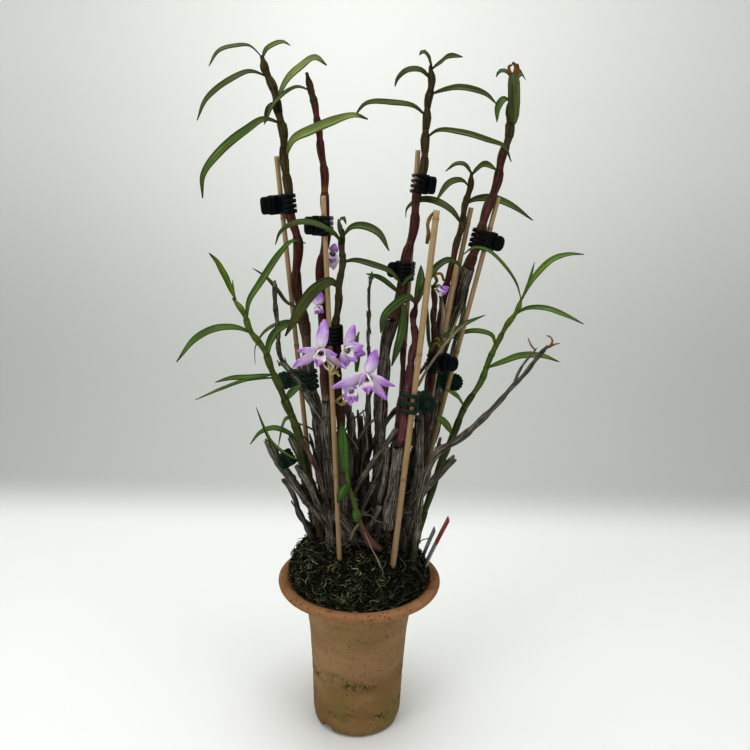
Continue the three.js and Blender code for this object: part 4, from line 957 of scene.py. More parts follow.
# ---- The dry thicket at the foot: more old canes, stubs, sheaths and roots ----
# A stub that shows: its colour, its radius at the foot and at the top, and its route.
STUBS = [
    ("b3afa5", 3.9, 3.4, [[-8, 10, 160], [-14, 8, 173], [-22, 4, 185], [-35, 0, 199], [-49, -4, 218], [-63, -8, 240],
                          [-76, -10, 261], [-83, -12, 277]]),
    ("a7a197", 3.2, 3.4, [[-26, 4, 170], [-32, 2, 196], [-44, -4, 230], [-53, -10, 259], [-62, -13, 281]]),
    ("c2bba9", 1.6, 2.0, [[-20, 5, 170], [-26, 2, 187], [-33, -6, 208], [-43, -12, 231], [-51, -16, 245],
                          [-57, -18, 256]]),
    ("56282a", 3.0, 2.0, [[-32, 15, 160], [-44, 12, 182], [-56, 10, 196], [-60, 8, 213], [-65, 8, 224], [-72, 8, 234]]),
    ("4c4a26", 1.6, 1.3, [[-20, 0, 172], [-37, -14, 208], [-53, -16, 227]]),
    ("4d463b", 2.6, 2.4, [[-8, 6, 165], [-6, 6, 215], [-4, 6, 255], [-9, 6, 282], [-15, 6, 308]]),
    ("6b6252", 2.3, 2.0, [[0, 12, 165], [0, 14, 231], [0, 14, 270], [-2, 14, 293]]),
    ("989182", 2.6, 2.3, [[-12, 4, 170], [-10, 2, 200], [-6, -3, 226], [-1, -6, 238], [11, -9, 258], [23, -12, 278],
                          [31, -12, 291]]),
    ("847c6e", 2.2, 2.0, [[-6, 4, 170], [-2, 0, 190], [3, -8, 215], [10, -13, 235], [16, -16, 255], [21, -17, 272]]),
    ("b3a992", 2.3, 2.6, [[12, 0, 168], [17, -12, 223], [22, -16, 251], [22, -17, 275]]),
    ("8d836f", 1.0, 0.7, [[-7, -4, 268], [3, -5, 287], [13, -6, 299]]),
    ("aca79c", 4.3, 3.9, [[33, 10, 162], [35, 8, 176], [40, 3, 197], [46, -6, 223], [50, -13, 250], [50, -16, 278],
                          [49, -17, 304]]),
    ("857a6c", 3.2, 2.0, [[34, 12, 165], [37, 10, 182], [47, 0, 209], [53, -6, 225], [67, -12, 245], [82, -14, 264]]),
    ("746a5c", 2.4, 1.6, [[38, 14, 170], [44, 14, 191], [54, 10, 215], [64, 8, 233], [77, 6, 256]]),
    ("6d6255", 1.5, 1.2, [[52, 2, 225], [61, 0, 248], [66, -4, 266], [69, -6, 281]]),
    ("c0b7a2", 1.3, 2.8, [[-2, 0, 172], [2, -5, 183], [7, -12, 195], [11, -15, 204], [18, -16, 220]]),
    ("a49d90", 4.0, 3.2, [[-3, -6, 176], [-6, -14, 188], [-11, -19, 198], [-17, -22, 207], [-23, -22, 215]]),
    ("8a8072", 1.9, 1.6, [[-15, -8, 178], [-12, -13, 184], [-6, -15, 187], [1, -13, 184], [6, -8, 180]]),
]
BARE_STUBS = {"56282a", "4c4a26"}  # with no papery sheaths
FINE_ROOTS = [
    ("cfc8b8", 0.55, [[2, -12, 184], [8, -20, 183], [13, -26, 179], [19, -37, 172], [21, -44, 168], [18, -48, 165]]),
    ("bdb49f", 0.45, [[22, -8, 180], [30, -20, 178], [36, -27, 175], [41, -32, 170], [38, -38, 168]]),
]
DEAD_CANES = 50
DEAD_TOPS = (200, 300)
ROOTS = 260
TWIGS = 56
ROOT_COLOURS = ["c9bfa6", "8a7f6b", "5c5142", "3a3126", "a3987f"]


def fan(x, y, z):
    """Where a cane that starts at a foot in the moss has spread to at a height."""
    rise = (z - 165) / 150
    return [x * (1 + 0.95 * rise), y * (1 + 0.45 * rise), z]


def thicket():
    skin = Skin()
    for i, (colour, foot, top, route) in enumerate(STUBS):
        stub(skin, colour, foot, top, route, i)
    for colour, thick, route in FINE_ROOTS:
        round_stem(skin, route, [thick, thick, thick * 0.6], [(0, colour), (1, colour)], 1.0, 7)
    for i in range(DEAD_CANES):
        turn, reach = rng.uniform(0, 2 * math.pi), 36 * math.sqrt(rng.random())
        x, y = 3 + reach * math.cos(turn), 17 + 0.55 * reach * math.sin(turn)
        top = rng.uniform(*DEAD_TOPS)
        lean = rng.uniform(-9, 9)
        route = [[p + q for p, q in zip(fan(x, y, z), (lean * k, rng.uniform(-2, 2) * k, 0))]
                 for k, z in ((0, 164), (0.35, mix(164, top, 0.4)), (0.7, mix(164, top, 0.75)), (1, top))]
        thick = rng.uniform(1.6, 3.3)
        old_stem(skin, {"thick": thick / OLD_GIRTH, "thin": thick * 0.8 / OLD_GIRTH, "route": route}, i + 3, i % 5 == 0,
                 step=2.3, sides=14)
    for i in range(TWIGS):
        turn, reach = rng.uniform(0, 2 * math.pi), 34 * math.sqrt(rng.random())
        x, y = 2 + reach * math.cos(turn), 8 + 0.7 * reach * math.sin(turn)
        low = rng.uniform(180, 270)
        high = low + rng.uniform(14, 42)
        drift = rng.uniform(-16, 16)
        a, b, c = fan(x, y, low), fan(x + drift * 0.4, y, mix(low, high, 0.6)), fan(x + drift, y, high)
        shade = [(0, rng.choice(ROOT_COLOURS)), (1, rng.choice(ROOT_COLOURS))]
        round_stem(skin, [a, b, c], [1.2, 0.8, 0.9, 0.5], shade, 2.0, 6)
    for i in range(ROOTS):
        root(skin)
    skin.piece("dry_thicket", [BARK_FINISH], PLANT, "old_cane")


def stub(skin, colour, foot, top, route, seed):
    """A cut or broken old cane with a ragged end."""
    spots, tangents, along = route_curve(route, 2.2)
    share = along / along[-1]
    turns = full_turn(20)
    radii = mix(foot, top, share) * (1 + 0.06 * np.sin(along * 0.35 + seed))
    ribs = 1 + 0.08 * np.cos(7 * turns[None, :] + seed) + 0.05 * np.cos(12 * turns[None, :] + 0.1 * along[:, None])
    rings, _ = turned(spots, tangents, radii[:, None] * ribs, turns)
    torn = np.array([rng.uniform(-3.5, 0.5) for _ in turns])
    rings = rings + tangents[:, None] * (np.exp(-(along[-1] - along) / 2.5)[:, None] * torn[None, :])[..., None]
    tint = np.repeat(np.repeat(srgb(colour)[None], len(spots), 0)[:, None], 20, axis=1)
    # Lighter on the flutes' crests and darker in their grooves: painted highlight and painted shade.
    tint = tint * np.clip(1 + 12 * (ribs - 1), 0.14, 1.5)[..., None]
    ring = np.exp(-(((along + 7 * seed) % 21 - 10) / 1.2) ** 2)[:, None, None]
    tint = mix(tint, srgb(CHARRED), 0.8 * ring)
    pale = smooth(along[-1] - 3, along[-1], along)[:, None, None]
    tint = mix(tint, srgb("c9c0ab"), 0.6 * pale)
    skin.rings(rings, tint, stem_grain(turns, along, seed), 0)
    for _ in range(0 if colour in BARE_STUBS else 3):
        start = rng.uniform(0.1, 0.7) * along[-1]
        old_sheath(skin, spots, tangents, along, radii, start, start + rng.uniform(10, 24))


def root(skin):
    """A thin root or shred that curls about near the moss."""
    turn, reach = rng.uniform(0, 2 * math.pi), 38 * math.sqrt(rng.random())
    z = 170 + 62 * rng.random() ** 1.6
    at = np.array(fan(3 + reach * math.cos(turn), 4 + 0.7 * reach * math.sin(turn), z))
    heading = rng.uniform(0, 2 * math.pi)
    route = [at]
    for _ in range(rng.randint(2, 5)):
        heading += rng.uniform(-1.5, 1.5)
        hop = rng.uniform(3, 8)
        route.append(route[-1] + [hop * math.cos(heading), 0.6 * hop * math.sin(heading), rng.uniform(-5, 5)])
    thick = rng.uniform(0.3, 0.9)
    shade = [(0, rng.choice(ROOT_COLOURS)), (1, rng.choice(ROOT_COLOURS))]
    round_stem(skin, route, [thick, thick, thick * 0.6], shade, 1.8, 5)

# ---- The young plant ----


KEIKI_FULLER = {"root": 0.42, "stem": 1.1}  # next to their plain solids


def keiki():
    skin = Skin()
    colours = {
        "stem": [(178, "5c4340"), (186, "77524f"), (203, "6a4643"), (212, "5c5f38"), (257, "4a7029")],
        "root": [(164, "b5ad9a"), (203, "8d8268")],
        "holdfast": [(190, "6f675a"), (210, "7d7462")],
        "stump": [(156, "2f271f"), (190, "6b5f50"), (213, "93897a")],
    }
    for part, stops in colours.items():
        data = KEIKI[part]
        spots, tangents, along = route_curve(settled(data["route"]) if part == "stump" else data["route"], 1.2)
        turns = full_turn(14)
        rough = 0.12 if part == "stump" else 0.03
        radii = mix(data["thick"], data["thin"], along / along[-1])[:, None] * KEIKI_FULLER.get(part, 1)
        if part == "stem":
            radii = radii * (1 + 0.45 * (1 - smooth(195, 214, spots[:, 2])))[:, None]
        wave = np.cos(5 * turns[None, :] + along[:, None] * 0.5) * np.cos(along[:, None] * 1.1)
        rings, _ = turned(spots, tangents, radii * (1 + rough * wave), turns)
        tint = np.repeat(colour_at(stops, spots[:, 2])[:, None], 14, axis=1)
        skin.rings(rings, tint, stem_grain(turns, along, 2.0), STEM)
    usual, special = LEAF_GREENS["keiki"]
    for i, leaf_data in enumerate(KEIKI["leaves"]):
        centre, _, _ = route_at(KEIKI["stem"]["route"], leaf_data["height"])
        points = [tuple(centre), *leaf_data["points"]]
        leaf_blade(skin, points, leaf_data["width"], leaf_data["face"], special.get(i, usual))
    skin.piece("keiki_skin", [STEM_FINISH, LEAF_FINISH], PLANT, "leafy_cane", "keiki")


# ---- Blooms ----
WHITE_PETAL, VIOLET, THROAT_BROWN, PALE_GREEN = "efe6f0", "a56fc6", "4d1c2c", "b9c38c"
DARK_BLOOMS = {"bloom_4": 0.3, "bloom_7": 1.2}  # more violet all over
OPEN_BLOOMS = {"bloom_1": 1.0, "bloom_3": 0.95}  # with the mouth towards the viewer, and its size
PETAL_ROWS, PETAL_COLUMNS = 16, 13
PETAL_FULLER = 1.32
CUP_RADIUS = 4.6


def cup(skin, throat, facing, size):
    """The round mouth of the lip: brown inside, then white, with a lilac frill."""
    side = np.cross(facing, UP)
    side /= np.linalg.norm(side)
    over = np.cross(side, facing)
    turns = full_turn(36)
    reach = np.array([0.08, 0.25, 0.42, 0.55, 0.66, 0.78, 0.89, 1.0])
    deep = np.array([-2.6, -2.5, -2.1, -1.3, -0.3, 0.6, 1.2, 1.3])
    frill = 1 + 0.05 * np.cos(9 * turns) + 0.04 * np.cos(5 * turns + 1)
    radius = size * reach[:, None] * mix(1, frill[None, :], reach[:, None] ** 2)
    round_it = side * np.cos(turns)[:, None] * 0.88 + over * np.sin(turns)[:, None]
    front = throat + facing * (deep + 1.2)[:, None, None] + radius[..., None] * round_it[None]
    back = front - facing * 0.45
    shades = [(0, THROAT_BROWN), (0.3, "6d4438"), (0.42, "8a6a52"), (0.52, "efe6e0"), (0.78, "f2eaf2"), (1, "bd92d6")]
    tint = np.repeat(colour_at(shades, reach)[:, None], len(turns), axis=1)
    rings = np.concatenate([front, back[::-1]])
    grain = np.empty_like(rings)
    grain[..., 0], grain[..., 1], grain[..., 2] = turns[None, :], 2.0, np.concatenate([reach, reach[::-1]])[:, None]
    skin.rings(rings, np.concatenate([tint, tint[::-1]]), grain, 0)


def petal(skin, start, bow, end, width, facing, seed, dark):
    spots, tangents, along = route_curve([start, bow, end], np.linalg.norm(end - start) / PETAL_ROWS)
    u = along / along[-1]
    flat = np.cross(facing, tangents)
    flat /= np.linalg.norm(flat, axis=1, keepdims=True)
    up = np.cross(flat, tangents)
    outline = np.sin(np.pi * np.clip(u * 0.93 + 0.07, 0, 1) ** 0.85) ** 0.6
    half = width / 2 * np.maximum(outline, 0.14)
    v = np.linspace(-1, 1, PETAL_COLUMNS)
    wave = 0.5 * np.sin(9 * u[:, None] + 2.6 * np.sign(v)[None, :] + seed) * np.abs(v)[None, :] ** 2
    cup = 0.3 * half[:, None] * v[None, :] ** 2 + wave * smooth(0.15, 0.5, u)[:, None]
    grid = spots[:, None] + flat[:, None] * (half[:, None] * v)[..., None] + up[:, None] * cup[..., None]
    edge = np.abs(v)[None, :] ** 2
    violet = smooth(0.12, 0.85, u[:, None] + 0.22 * edge + 0.05 * math.sin(seed) + dark)
    tint = mix(srgb(WHITE_PETAL), srgb(VIOLET), (0.14 + 0.86 * violet)[..., None])
    tint = mix(tint, srgb(PALE_GREEN), ((1 - smooth(0, 0.16, u)) * 0.5)[:, None, None])
    grain = np.empty_like(grid)
    grain[..., 0], grain[..., 1], grain[..., 2] = v[None, :], seed, u[:, None]
    skin.slab(grid, 0.5, tint, grain, 0)


def lip(skin, throat, tip, facing, size):
    """The rolled lip: a brown throat in a white ring, with a pointed violet lobe."""
    rows, columns = 18, 17
    u = np.linspace(0, 1, rows)
    middle = mix(throat, tip, 0.5) + facing * 1.5
    route = [throat - facing * 1.0, middle, tip]
    spots, tangents, along = route_curve(route, np.linalg.norm(tip - throat) * 1.15 / (rows - 1))
    pick = np.linspace(0, len(spots) - 1, rows).round().astype(int)
    spots, tangents = spots[pick], tangents[pick]
    across = np.cross(facing, tangents)
    across /= np.linalg.norm(across, axis=1, keepdims=True)
    out = np.cross(tangents, across)
    roll = mix(2.5, 0.7, smooth(0.15, 0.85, u))
    radius = size * (0.5 + 0.75 * np.sin(np.pi * np.clip(u * 0.95, 0, 1)) ** 0.8) * mix(1, 0.3, smooth(0.75, 1, u))
    v = np.linspace(-1, 1, columns)
    angle = roll[:, None] * v[None, :]
    spread = mix(1.0, 1.7, smooth(0.3, 0.8, u))[:, None]
    grid = (
        spots[:, None]
        + across[:, None] * (radius[:, None] * np.sin(angle) * spread)[..., None]
        + out[:, None] * (radius[:, None] * (1 - np.cos(angle)))[..., None]
    )
    frill = 0.35 * np.sin(26 * u[:, None] + 3 * v[None, :]) * np.abs(v)[None, :] ** 4
    grid = grid + out[:, None] * frill[..., None]
    brown, violet = srgb(THROAT_BROWN), srgb("8c3fa6")
    tint = mix(brown, srgb("f4eeee"), smooth(0.3, 0.42, u[:, None] + 0.25 * v[None, :] ** 2)[..., None])
    tint = mix(tint, violet, smooth(0.52, 0.7, u[:, None] - 0.1 * v[None, :] ** 2)[..., None])
    grain = np.empty_like(grid)
    grain[..., 0], grain[..., 1], grain[..., 2] = v[None, :], 3.0, u[:, None]
    skin.slab(grid, 0.4, tint, grain, 0)


def round_stem(skin, route, radii, stops, step=0.8, sides=10, slot=0):
    """A thin round stem with a colour along its length."""
    spots, tangents, along = route_curve(route, step)
    u = along / along[-1]
    turns = full_turn(sides)
    radius = np.interp(u, np.linspace(0, 1, len(radii)), radii)
    rings, _ = turned(spots, tangents, radius, turns)
    tint = np.repeat(colour_at(stops, u)[:, None], sides, axis=1)
    skin.rings(rings, tint, stem_grain(turns, along, radii[0]), slot)


# A half-closed bloom: violet at the top and pale below.
BUDS = {
    "bloom_4": {
        "throat": [-28, 6, 437],
        "tips": [[-26, 5, 446], [-33, 4, 429], [-24, 4, 429], [-27, 6, 424], [-30, 3, 426]],
        "lip": [-28, 1, 430],
    },
}


def bloom(name, data):
    skin = Skin()
    data = data | BUDS.get(name, {})
    throat, tip = np.array(data["throat"], float), np.array(data["lip"], float)
    tips = [np.array(t, float) for t in data["tips"]]
    facing = tip - sum(tips) / len(tips) + 4 * FRONT
    facing /= np.linalg.norm(facing)
    for i, end in enumerate(tips):
        wide = data["width"] * PETAL_FULLER * (1.15 if i % 3 == 1 else 1)
        start = mix(throat, end, 0.06) - facing * (1.1 if i % 2 else 0.5)
        bow = mix(throat, end, 0.5) + facing * 1.6
        dark = DARK_BLOOMS.get(name, 0) if name not in BUDS else -0.75 if i else 0.8
        petal(skin, start, bow, end, wide, facing, i * 1.9 + throat[0], dark)
    size = min(3.4, 0.42 * data["width"])
    if name in OPEN_BLOOMS:
        cup(skin, throat, facing, CUP_RADIUS * OPEN_BLOOMS[name])
    lip(skin, throat, tip, facing, size)
    column = [throat - facing, throat + facing * 1.6 + UP * 1.2, throat + facing * 3.4 + UP * 1.5]
    round_stem(skin, column, [1.1, 1.25, 1.3, 0.7], [(0, "dfe6c2"), (0.7, "f2efe6"), (1, "b98ac6")], 0.4, 12, 1)
    back = throat - facing
    spur = [throat + facing * 0.4, back - facing * 1.2 - UP * 1.4, back - facing * 1.6 - UP * 3.4]
    round_stem(skin, spur, [2.6, 2.3, 1.4, 0.6], [(0, "cfd0ab"), (1, "c9a9cf")], 0.5, 12, 1)
    stalk = [back, *data["stalk"]]
    round_stem(skin, stalk, [1.3, 0.95, 0.9, 1.15], [(0, "c9c993"), (0.5, "b5bd6c"), (1, "8f7a4a")], 0.8, 10, 1)
    skin.piece(name + "_flower", [PETAL_FINISH, STEM_FINISH], PLANT, "bloom", name)


# ---- Small dried and young things among the canes ----
# A colour at the foot and the tip, radii along it, and a route.
WISPS = [
    ("8e8570", "a79d86", [1.3, 1.1, 1.2, 0.7], [[47, -12, 328], [55, -12, 344], [65, -12, 360], [74, -12, 372], [87, -12, 385]]),
    ("8e8570", "a3977c", [1.0, 0.8, 0.6], [[71, -12, 367], [76, -13, 381], [80, -14, 394]]),
    ("5a4626", "97783f", [1.0, 1.5, 1.2, 1.0], [[57, -6, 413], [60, -7, 418], [58, -8, 423], [63, -8, 424], [66, -6, 418]]),
    ("554222", "8a6e38", [0.8, 1.4, 1.1, 0.8], [[58, -5, 412], [62, -9, 414], [66, -8, 411], [71, -7, 413]]),
    ("55522a", "86803f", [0.8, 1.3, 1.0, 0.8], [[57, -11, 359], [61, -12, 366], [66, -12, 362], [68, -11, 368]]),
    ("55522a", "86743d", [0.8, 1.2, 0.7], [[65, -11, 364], [62, -12, 370], [59, -11, 368]]),
    ("2a221b", "b5aa90", [1.6, 1.9, 1.7, 1.5], [[66, -2, 358], [66, -2, 376], [67, -2, 390], [64, -2, 405]]),
    ("d9cfae", "c9b98a", [0.9, 1.1, 0.9, 0.7], [[-30, -33, 354], [-25, -34, 349], [-27, -34, 342], [-20, -33, 344]]),
    ("d9cfae", "8a6a3c", [0.8, 1.0, 0.8, 0.7], [[-25, -33, 354], [-20, -34, 351], [-22, -34, 345], [-19, -33, 340]]),
    ("b59a60", "e0d8c0", [0.7, 1.0, 0.6], [[-34, -33, 353], [-30, -34, 347], [-25, -33, 344]]),
    ("6b8a35", "5c8a30", [0.9, 1.3, 0.8], [[-6, -18, 364], [-7, -18, 370], [-9, -18, 376]]),
    ("6b8a35", "5c8a30", [0.8, 1.2, 0.7], [[-5, -18, 364], [-5, -18, 371], [-4, -18, 375]]),
    ("5a7a30", "527a2c", [1.0, 1.6, 0.8], [[-6, -14, 340], [-6, -14, 350], [-8, -14, 357]]),
    ("5a7a30", "527a2c", [0.9, 1.3, 0.7], [[-5, -14, 340], [-4, -14, 350], [-3, -14, 359]]),
    ("c9b37c", "8e9a4a", [0.9, 1.4, 1.2, 0.8], [[-26, -18, 312], [-19, -19, 318], [-13, -19, 323], [-17, -18, 326]]),
    ("c9b37c", "b9a568", [0.8, 1.1, 0.6], [[-22, -18, 314], [-17, -19, 312], [-11, -18, 316]]),
    ("5a3f20", "a07a48", [1.4, 1.9, 1.3, 1.7, 0.9], [[51, 1, 448], [52, -1, 456], [51, -1, 464], [53, -1, 470], [56, -1, 474]]),
    ("5a3f20", "7a5a30", [1.0, 1.4, 0.8], [[52, -1, 452], [56, -2, 456], [57, -2, 460]]),
    ("5f4630", "a08662", [0.7, 1.0, 0.8, 0.5], [[149, -43, 370], [152, -43, 375], [150, -44, 379], [147, -43, 380]]),
    ("5f4630", "94744c", [0.6, 0.9, 0.4], [[149, -43, 370], [154, -43, 373], [158, -43, 374]]),
    ("6f5236", "a88e68", [0.6, 0.9, 0.4], [[140, -40, 367], [136, -40, 371], [133, -40, 377]]),
]


def wisps():
    skin = Skin()
    for foot, tip, radii, route in WISPS:
        round_stem(skin, route, radii, [(0, foot), (0.7, tip), (1, foot)], 0.7, 9)
    skin.piece("dry_wisps", [STEM_FINISH], PLANT, "old_cane")


# ---- Claw clips, each in its own frame: Z along the stems, Y towards the wings, the pin at 0, 0 ----
CLIP = {"wall": 1.5, "room": 0.6, "pin": 0.85, "knuckle": 2.1, "wing_angle": 28}
BRIDGE = CLIP["knuckle"] + 0.4
LUG = 2.9
STAKE_RADIUS = 2.2
STAKE_RIDGE = 0.3
STAKE_DEPTH = 30
NODE_SWELL = 1.08
# The number of claws, how wide they are, how much of that they lose towards the tip, and the pad.
CLIP_STYLES = {
    "clip_1": (4, 3.6, 0.35, "block"), "clip_2": (4, 3.6, 0.35, "block"), "clip_3": (4, 3.2, 0.8, "block"),
    "clip_4": (4, 3.4, 0.4, "round"), "clip_5": (5, 2.9, 0.3, "block"), "clip_6": (5, 2.9, 0.3, "round"),
    "clip_7": (4, 3.2, 0.7, "round"), "clip_8": (4, 3.4, 0.7, "scallops"), "clip_9": (3, 3.4, 0.1, "daisy"),
    "clip_10": (3, 3.4, 0.2, "daisy"), "clip_11": (4, 2.4, 0.4, "round"),
}
SCALLOPS, RIDGES = 12, 16
SPARE_CLIP = {"colour": "clip_green", "length": 13, "reach": 6, "at": (-64, -9, 260), "wing": 205, "lean": -32}


def stake_ends(stake):
    foot, top = (np.array(stake[k], float) for k in ("foot", "top"))
    along = (foot - top) / np.linalg.norm(foot - top)
    return foot + along * STAKE_DEPTH, top


def held_stem(name, height):
    if name in STAKES:
        foot, top = stake_ends(STAKES[name])
        centre, along, _ = route_at([tuple(foot), tuple(top)], height)
        return centre, along, STAKE_RADIUS + STAKE_RIDGE
    centre, along, t = route_at(CANES[name]["route"], height)
    return centre, along, girth_at(CANES[name]["girth"], t) * NODE_SWELL


def clip_place(data):
    """The clip's frame, as three axes and an origin, and its stems' circles there with room round them."""
    stems = [held_stem(name, data["height"]) for name in data["held"]]
    z_axis = sum(s[1] for s in stems)
    z_axis = z_axis / np.linalg.norm(z_axis) * data["side"]
    wing = math.radians(data["wing"])
    y_axis = np.array([math.cos(wing), math.sin(wing), 0])
    y_axis = y_axis - z_axis * y_axis.dot(z_axis)
    y_axis /= np.linalg.norm(y_axis)
    x_axis = np.cross(y_axis, z_axis)
    spots = [(s[0].dot(x_axis), s[0].dot(y_axis), s[2] + CLIP["room"]) for s in stems]
    spans = []
    for k in (0, 1):
        low, high = min(s[k] - s[2] for s in spots), max(s[k] + s[2] for s in spots)
        spans.append(((low + high) / 2, (high - low) / 2))
    turns = np.arange(0, 2 * math.pi, 0.2)
    reach = max(
        float(np.hypot((s[0] + s[2] * np.cos(turns) - spans[0][0]) / spans[0][1],
                       (s[1] + s[2] * np.sin(turns) - spans[1][0]) / spans[1][1]).max())
        for s in spots
    )
    pin_y = spans[1][1] * reach + CLIP["knuckle"] + 0.2
    origin = x_axis * spans[0][0] + y_axis * (spans[1][0] + pin_y) + z_axis * z_axis.dot(stems[0][0])
    circles = [(s[0] - spans[0][0], s[1] - spans[1][0] - pin_y, s[2] * FULLER.get(n, 1.0))
               for s, n in zip(spots, data["held"])]
    return np.array([x_axis, y_axis, z_axis]), origin, circles


class ClipSkin(Skin):
    """A skin whose surfaces are given in a clip's frame. mirror is -1 for the fixed jaw."""

    def __init__(self, axes, origin, mirror, colour):
        super().__init__()
        self.axes, self.origin, self.mirror, self.colour = axes, origin, mirror, srgb(colour)

    def add(self, points, faces, tint, grain, slot=0):
        points = np.asarray(points, float).reshape(-1, 3) * [self.mirror, 1, 1]
        if self.mirror < 0:
            faces = [tuple(reversed(face)) for face in faces]
        super().add(points @ self.axes + self.origin, faces, tint, grain, slot)

    def plate(self, grid, thickness):
        self.slab(grid, thickness, self.colour, grid / GRAIN_MM)

    def rod(self, spots, radii, sides=12, slot=0, colour=None):
        """A round bar through points."""
        spots = np.asarray(spots, float)
        tangents = np.gradient(spots, axis=0)
        tangents /= np.linalg.norm(tangents, axis=1, keepdims=True)
        rings, _ = turned(spots, tangents, np.broadcast_to(radii, len(spots)), full_turn(sides))
        tint = self.colour if colour is None else colour
        self.rings(rings, np.broadcast_to(tint, rings.shape), rings / GRAIN_MM, slot)


def round_stems(circles, turn, grow):
    """Points of the taut outline round the stems, by the bearing of its normal."""
    normal = np.stack([np.cos(turn), np.sin(turn)], -1)
    spots = np.array([c[:2] for c in circles])
    radii = np.array([c[2] for c in circles])
    pull = normal @ spots.T + radii
    share = np.exp(1.6 * (pull - pull.max(-1, keepdims=True)))
    share /= share.sum(-1, keepdims=True)
    return share @ spots + normal * (share @ radii + grow)[..., None]


def jaw(skin, circles, name, data):
    half = data["length"] / 2
    wall = CLIP["wall"]
    circles = [(skin.mirror * x, y, r) for x, y, r in circles]

    def arc_plate(first, last, middle, width, rows, columns, taper=0.0):
        """A strip of the oval round the stems, between two bearings."""
        turn = np.radians(np.linspace(first, last, rows))
        t = np.linspace(0, 1, rows)
        v = np.linspace(-1, 1, columns)
        grow = wall / 2 + 0.35 * (1 - v**2)[None, :] - 0.5 * (taper * t**2)[:, None]
        grid = np.empty((rows, columns, 3))
        grid[..., :2] = round_stems(circles, turn[:, None] + 0 * v, grow)
        grid[..., 2] = middle + (width / 2 * (1 - taper * t**1.6))[:, None] * v[None, :]
        skin.plate(grid, mix(wall, wall * (1 - 0.5 * taper), t))

    claws, claw_width, taper, _ = CLIP_STYLES[name]
    pitch = (2 * half - claw_width) / (claws - 1)
    arc_plate(50, 10, 0, 2 * half, 14, 9)
    for k in range(claws):
        arc_plate(16, -87, (k - (claws - 1) / 2) * pitch, claw_width, 22, 5, taper)
    x, y = round_stems(circles, np.array(math.radians(50)), wall / 2)
    shoulder = np.array([[BRIDGE + 0.7, 1.3], [BRIDGE + 0.75, 0], [mix(BRIDGE, x, 0.4), mix(-1.3, y, 0.6)], [x, y]])
    grid = np.empty((4, 5, 3))
    grid[..., 0], grid[..., 1], grid[..., 2] = shoulder[:, :1], shoulder[:, 1:], np.linspace(-half, half, 5)
    skin.plate(grid, wall)
    wing(skin, name, data)


def pillow(skin, centre, up, out, tall, wide, square, thick, lobes=0, ridge=0.0, waist=0.0):
    """A finger pad: a rounded plate, domed on its outer side, with lobes or ridges round its middle."""
    turns = full_turn(max(48, 8 * lobes))
    cos, sin = np.cos(turns), np.sin(turns)
    reach = (np.abs(cos) ** square + np.abs(sin) ** square) ** (-1 / square)
    wave = np.abs(np.cos(lobes / 2 * turns)) - 0.6 if lobes else 0 * turns
    share = np.array([0.03, 0.2, 0.26, 0.32, 0.38, 0.46, 0.6, 0.74, 0.86, 0.94, 0.98, 1.0])
    edge = np.sqrt(np.clip(1 - share**7, 0, 1))
    outline = reach[None, :] * share[:, None] * (1 + 0.1 * wave[None, :] * smooth(0.6, 1, share)[:, None])
    grid = centre + up * (tall * outline * sin)[..., None] + np.array([0, 0, 1]) * (wide * outline * cos)[..., None]
    dish = ridge * smooth(0.3, 0.45, share)[:, None] * (wave[None, :] - 0.4) + waist * np.exp(-(((share - 0.29) / 0.05) ** 2))[:, None]
    top = grid + out * ((thick / 2 + 0.9 * (1 - share**2)) * edge + thick * 0.1)[:, None, None] + out * (dish * edge[:, None])[..., None]
    low = grid - out * (thick / 2 * edge)[:, None, None]
    rings = np.concatenate([top, low[::-1]])
    skin.rings(rings, np.broadcast_to(skin.colour, rings.shape), rings / GRAIN_MM)


def wing(skin, name, data):
    angle = math.radians(CLIP["wing_angle"])
    out = np.array([math.cos(angle), -math.sin(angle), 0])  # the pad's outer side
    up = np.array([math.sin(angle), math.cos(angle), 0])
    base = np.array([BRIDGE + CLIP["wall"] / 2, 0.6, 0])
    style = CLIP_STYLES[name][3]
    reach, half = data["reach"], data["length"] / 2
    neck = np.empty((4, 5, 3))
    neck[:] = (base + up * np.linspace(-1.2, reach * 0.45, 4)[:, None])[:, None]
    neck[..., 2] = 0.62 * half * np.linspace(-1, 1, 5)
    skin.plate(neck, CLIP["wall"])
    if style == "block":
        pillow(skin, base + up * (reach * 0.36), up, out, reach * 0.6, half * 0.92, 4.5, 2.4)
    elif style == "round":
        pillow(skin, base + up * (reach * 0.4), up, out, reach * 0.66, half * 0.84, 2.4, 2.4)
    elif style == "scallops":
        pillow(skin, base + up * (reach - 8.4), up, out, 8.2, 8.2, 2, 1.8, SCALLOPS, 0.5, 0.5)
    else:
        pillow(skin, base + up * (reach - 8.4), up, out, 7.8, 8.2, 2, 1.8, RIDGES, 1.3, 0.8)


def knuckle(skin, low, high):
    """A ring round the pin, with a strap to the arm."""
    z = np.linspace(low, high, 3)
    turns = full_turn(24)
    outer, inner = CLIP["knuckle"], CLIP["pin"] + 0.25
    loop = np.array([(inner, low), (outer, low), (outer, high), (inner, high), (inner, low)])
    rings = np.empty((len(loop), len(turns), 3))
    rings[..., 0] = loop[:, :1] * np.cos(turns)
    rings[..., 1] = loop[:, :1] * np.sin(turns)
    rings[..., 2] = loop[:, 1:]
    index = np.arange(rings.shape[0] * 24).reshape(-1, 24)
    faces = []
    for i in range(len(loop) - 1):
        for j in range(24):
            k = (j + 1) % 24
            n = (i + 1) % 4
            faces.append((index[i, j], index[i, k], index[n, k], index[n, j]))
    skin.add(rings[:4], faces, skin.colour, rings[:4].reshape(-1, 3) / GRAIN_MM)
    grid = np.empty((4, 3, 3))
    grid[..., 0] = np.linspace(outer - 0.5, BRIDGE + 0.9, 4)[:, None]
    grid[..., 1] = 0
    grid[..., 2] = z[None, :]
    skin.plate(grid, 1.9)


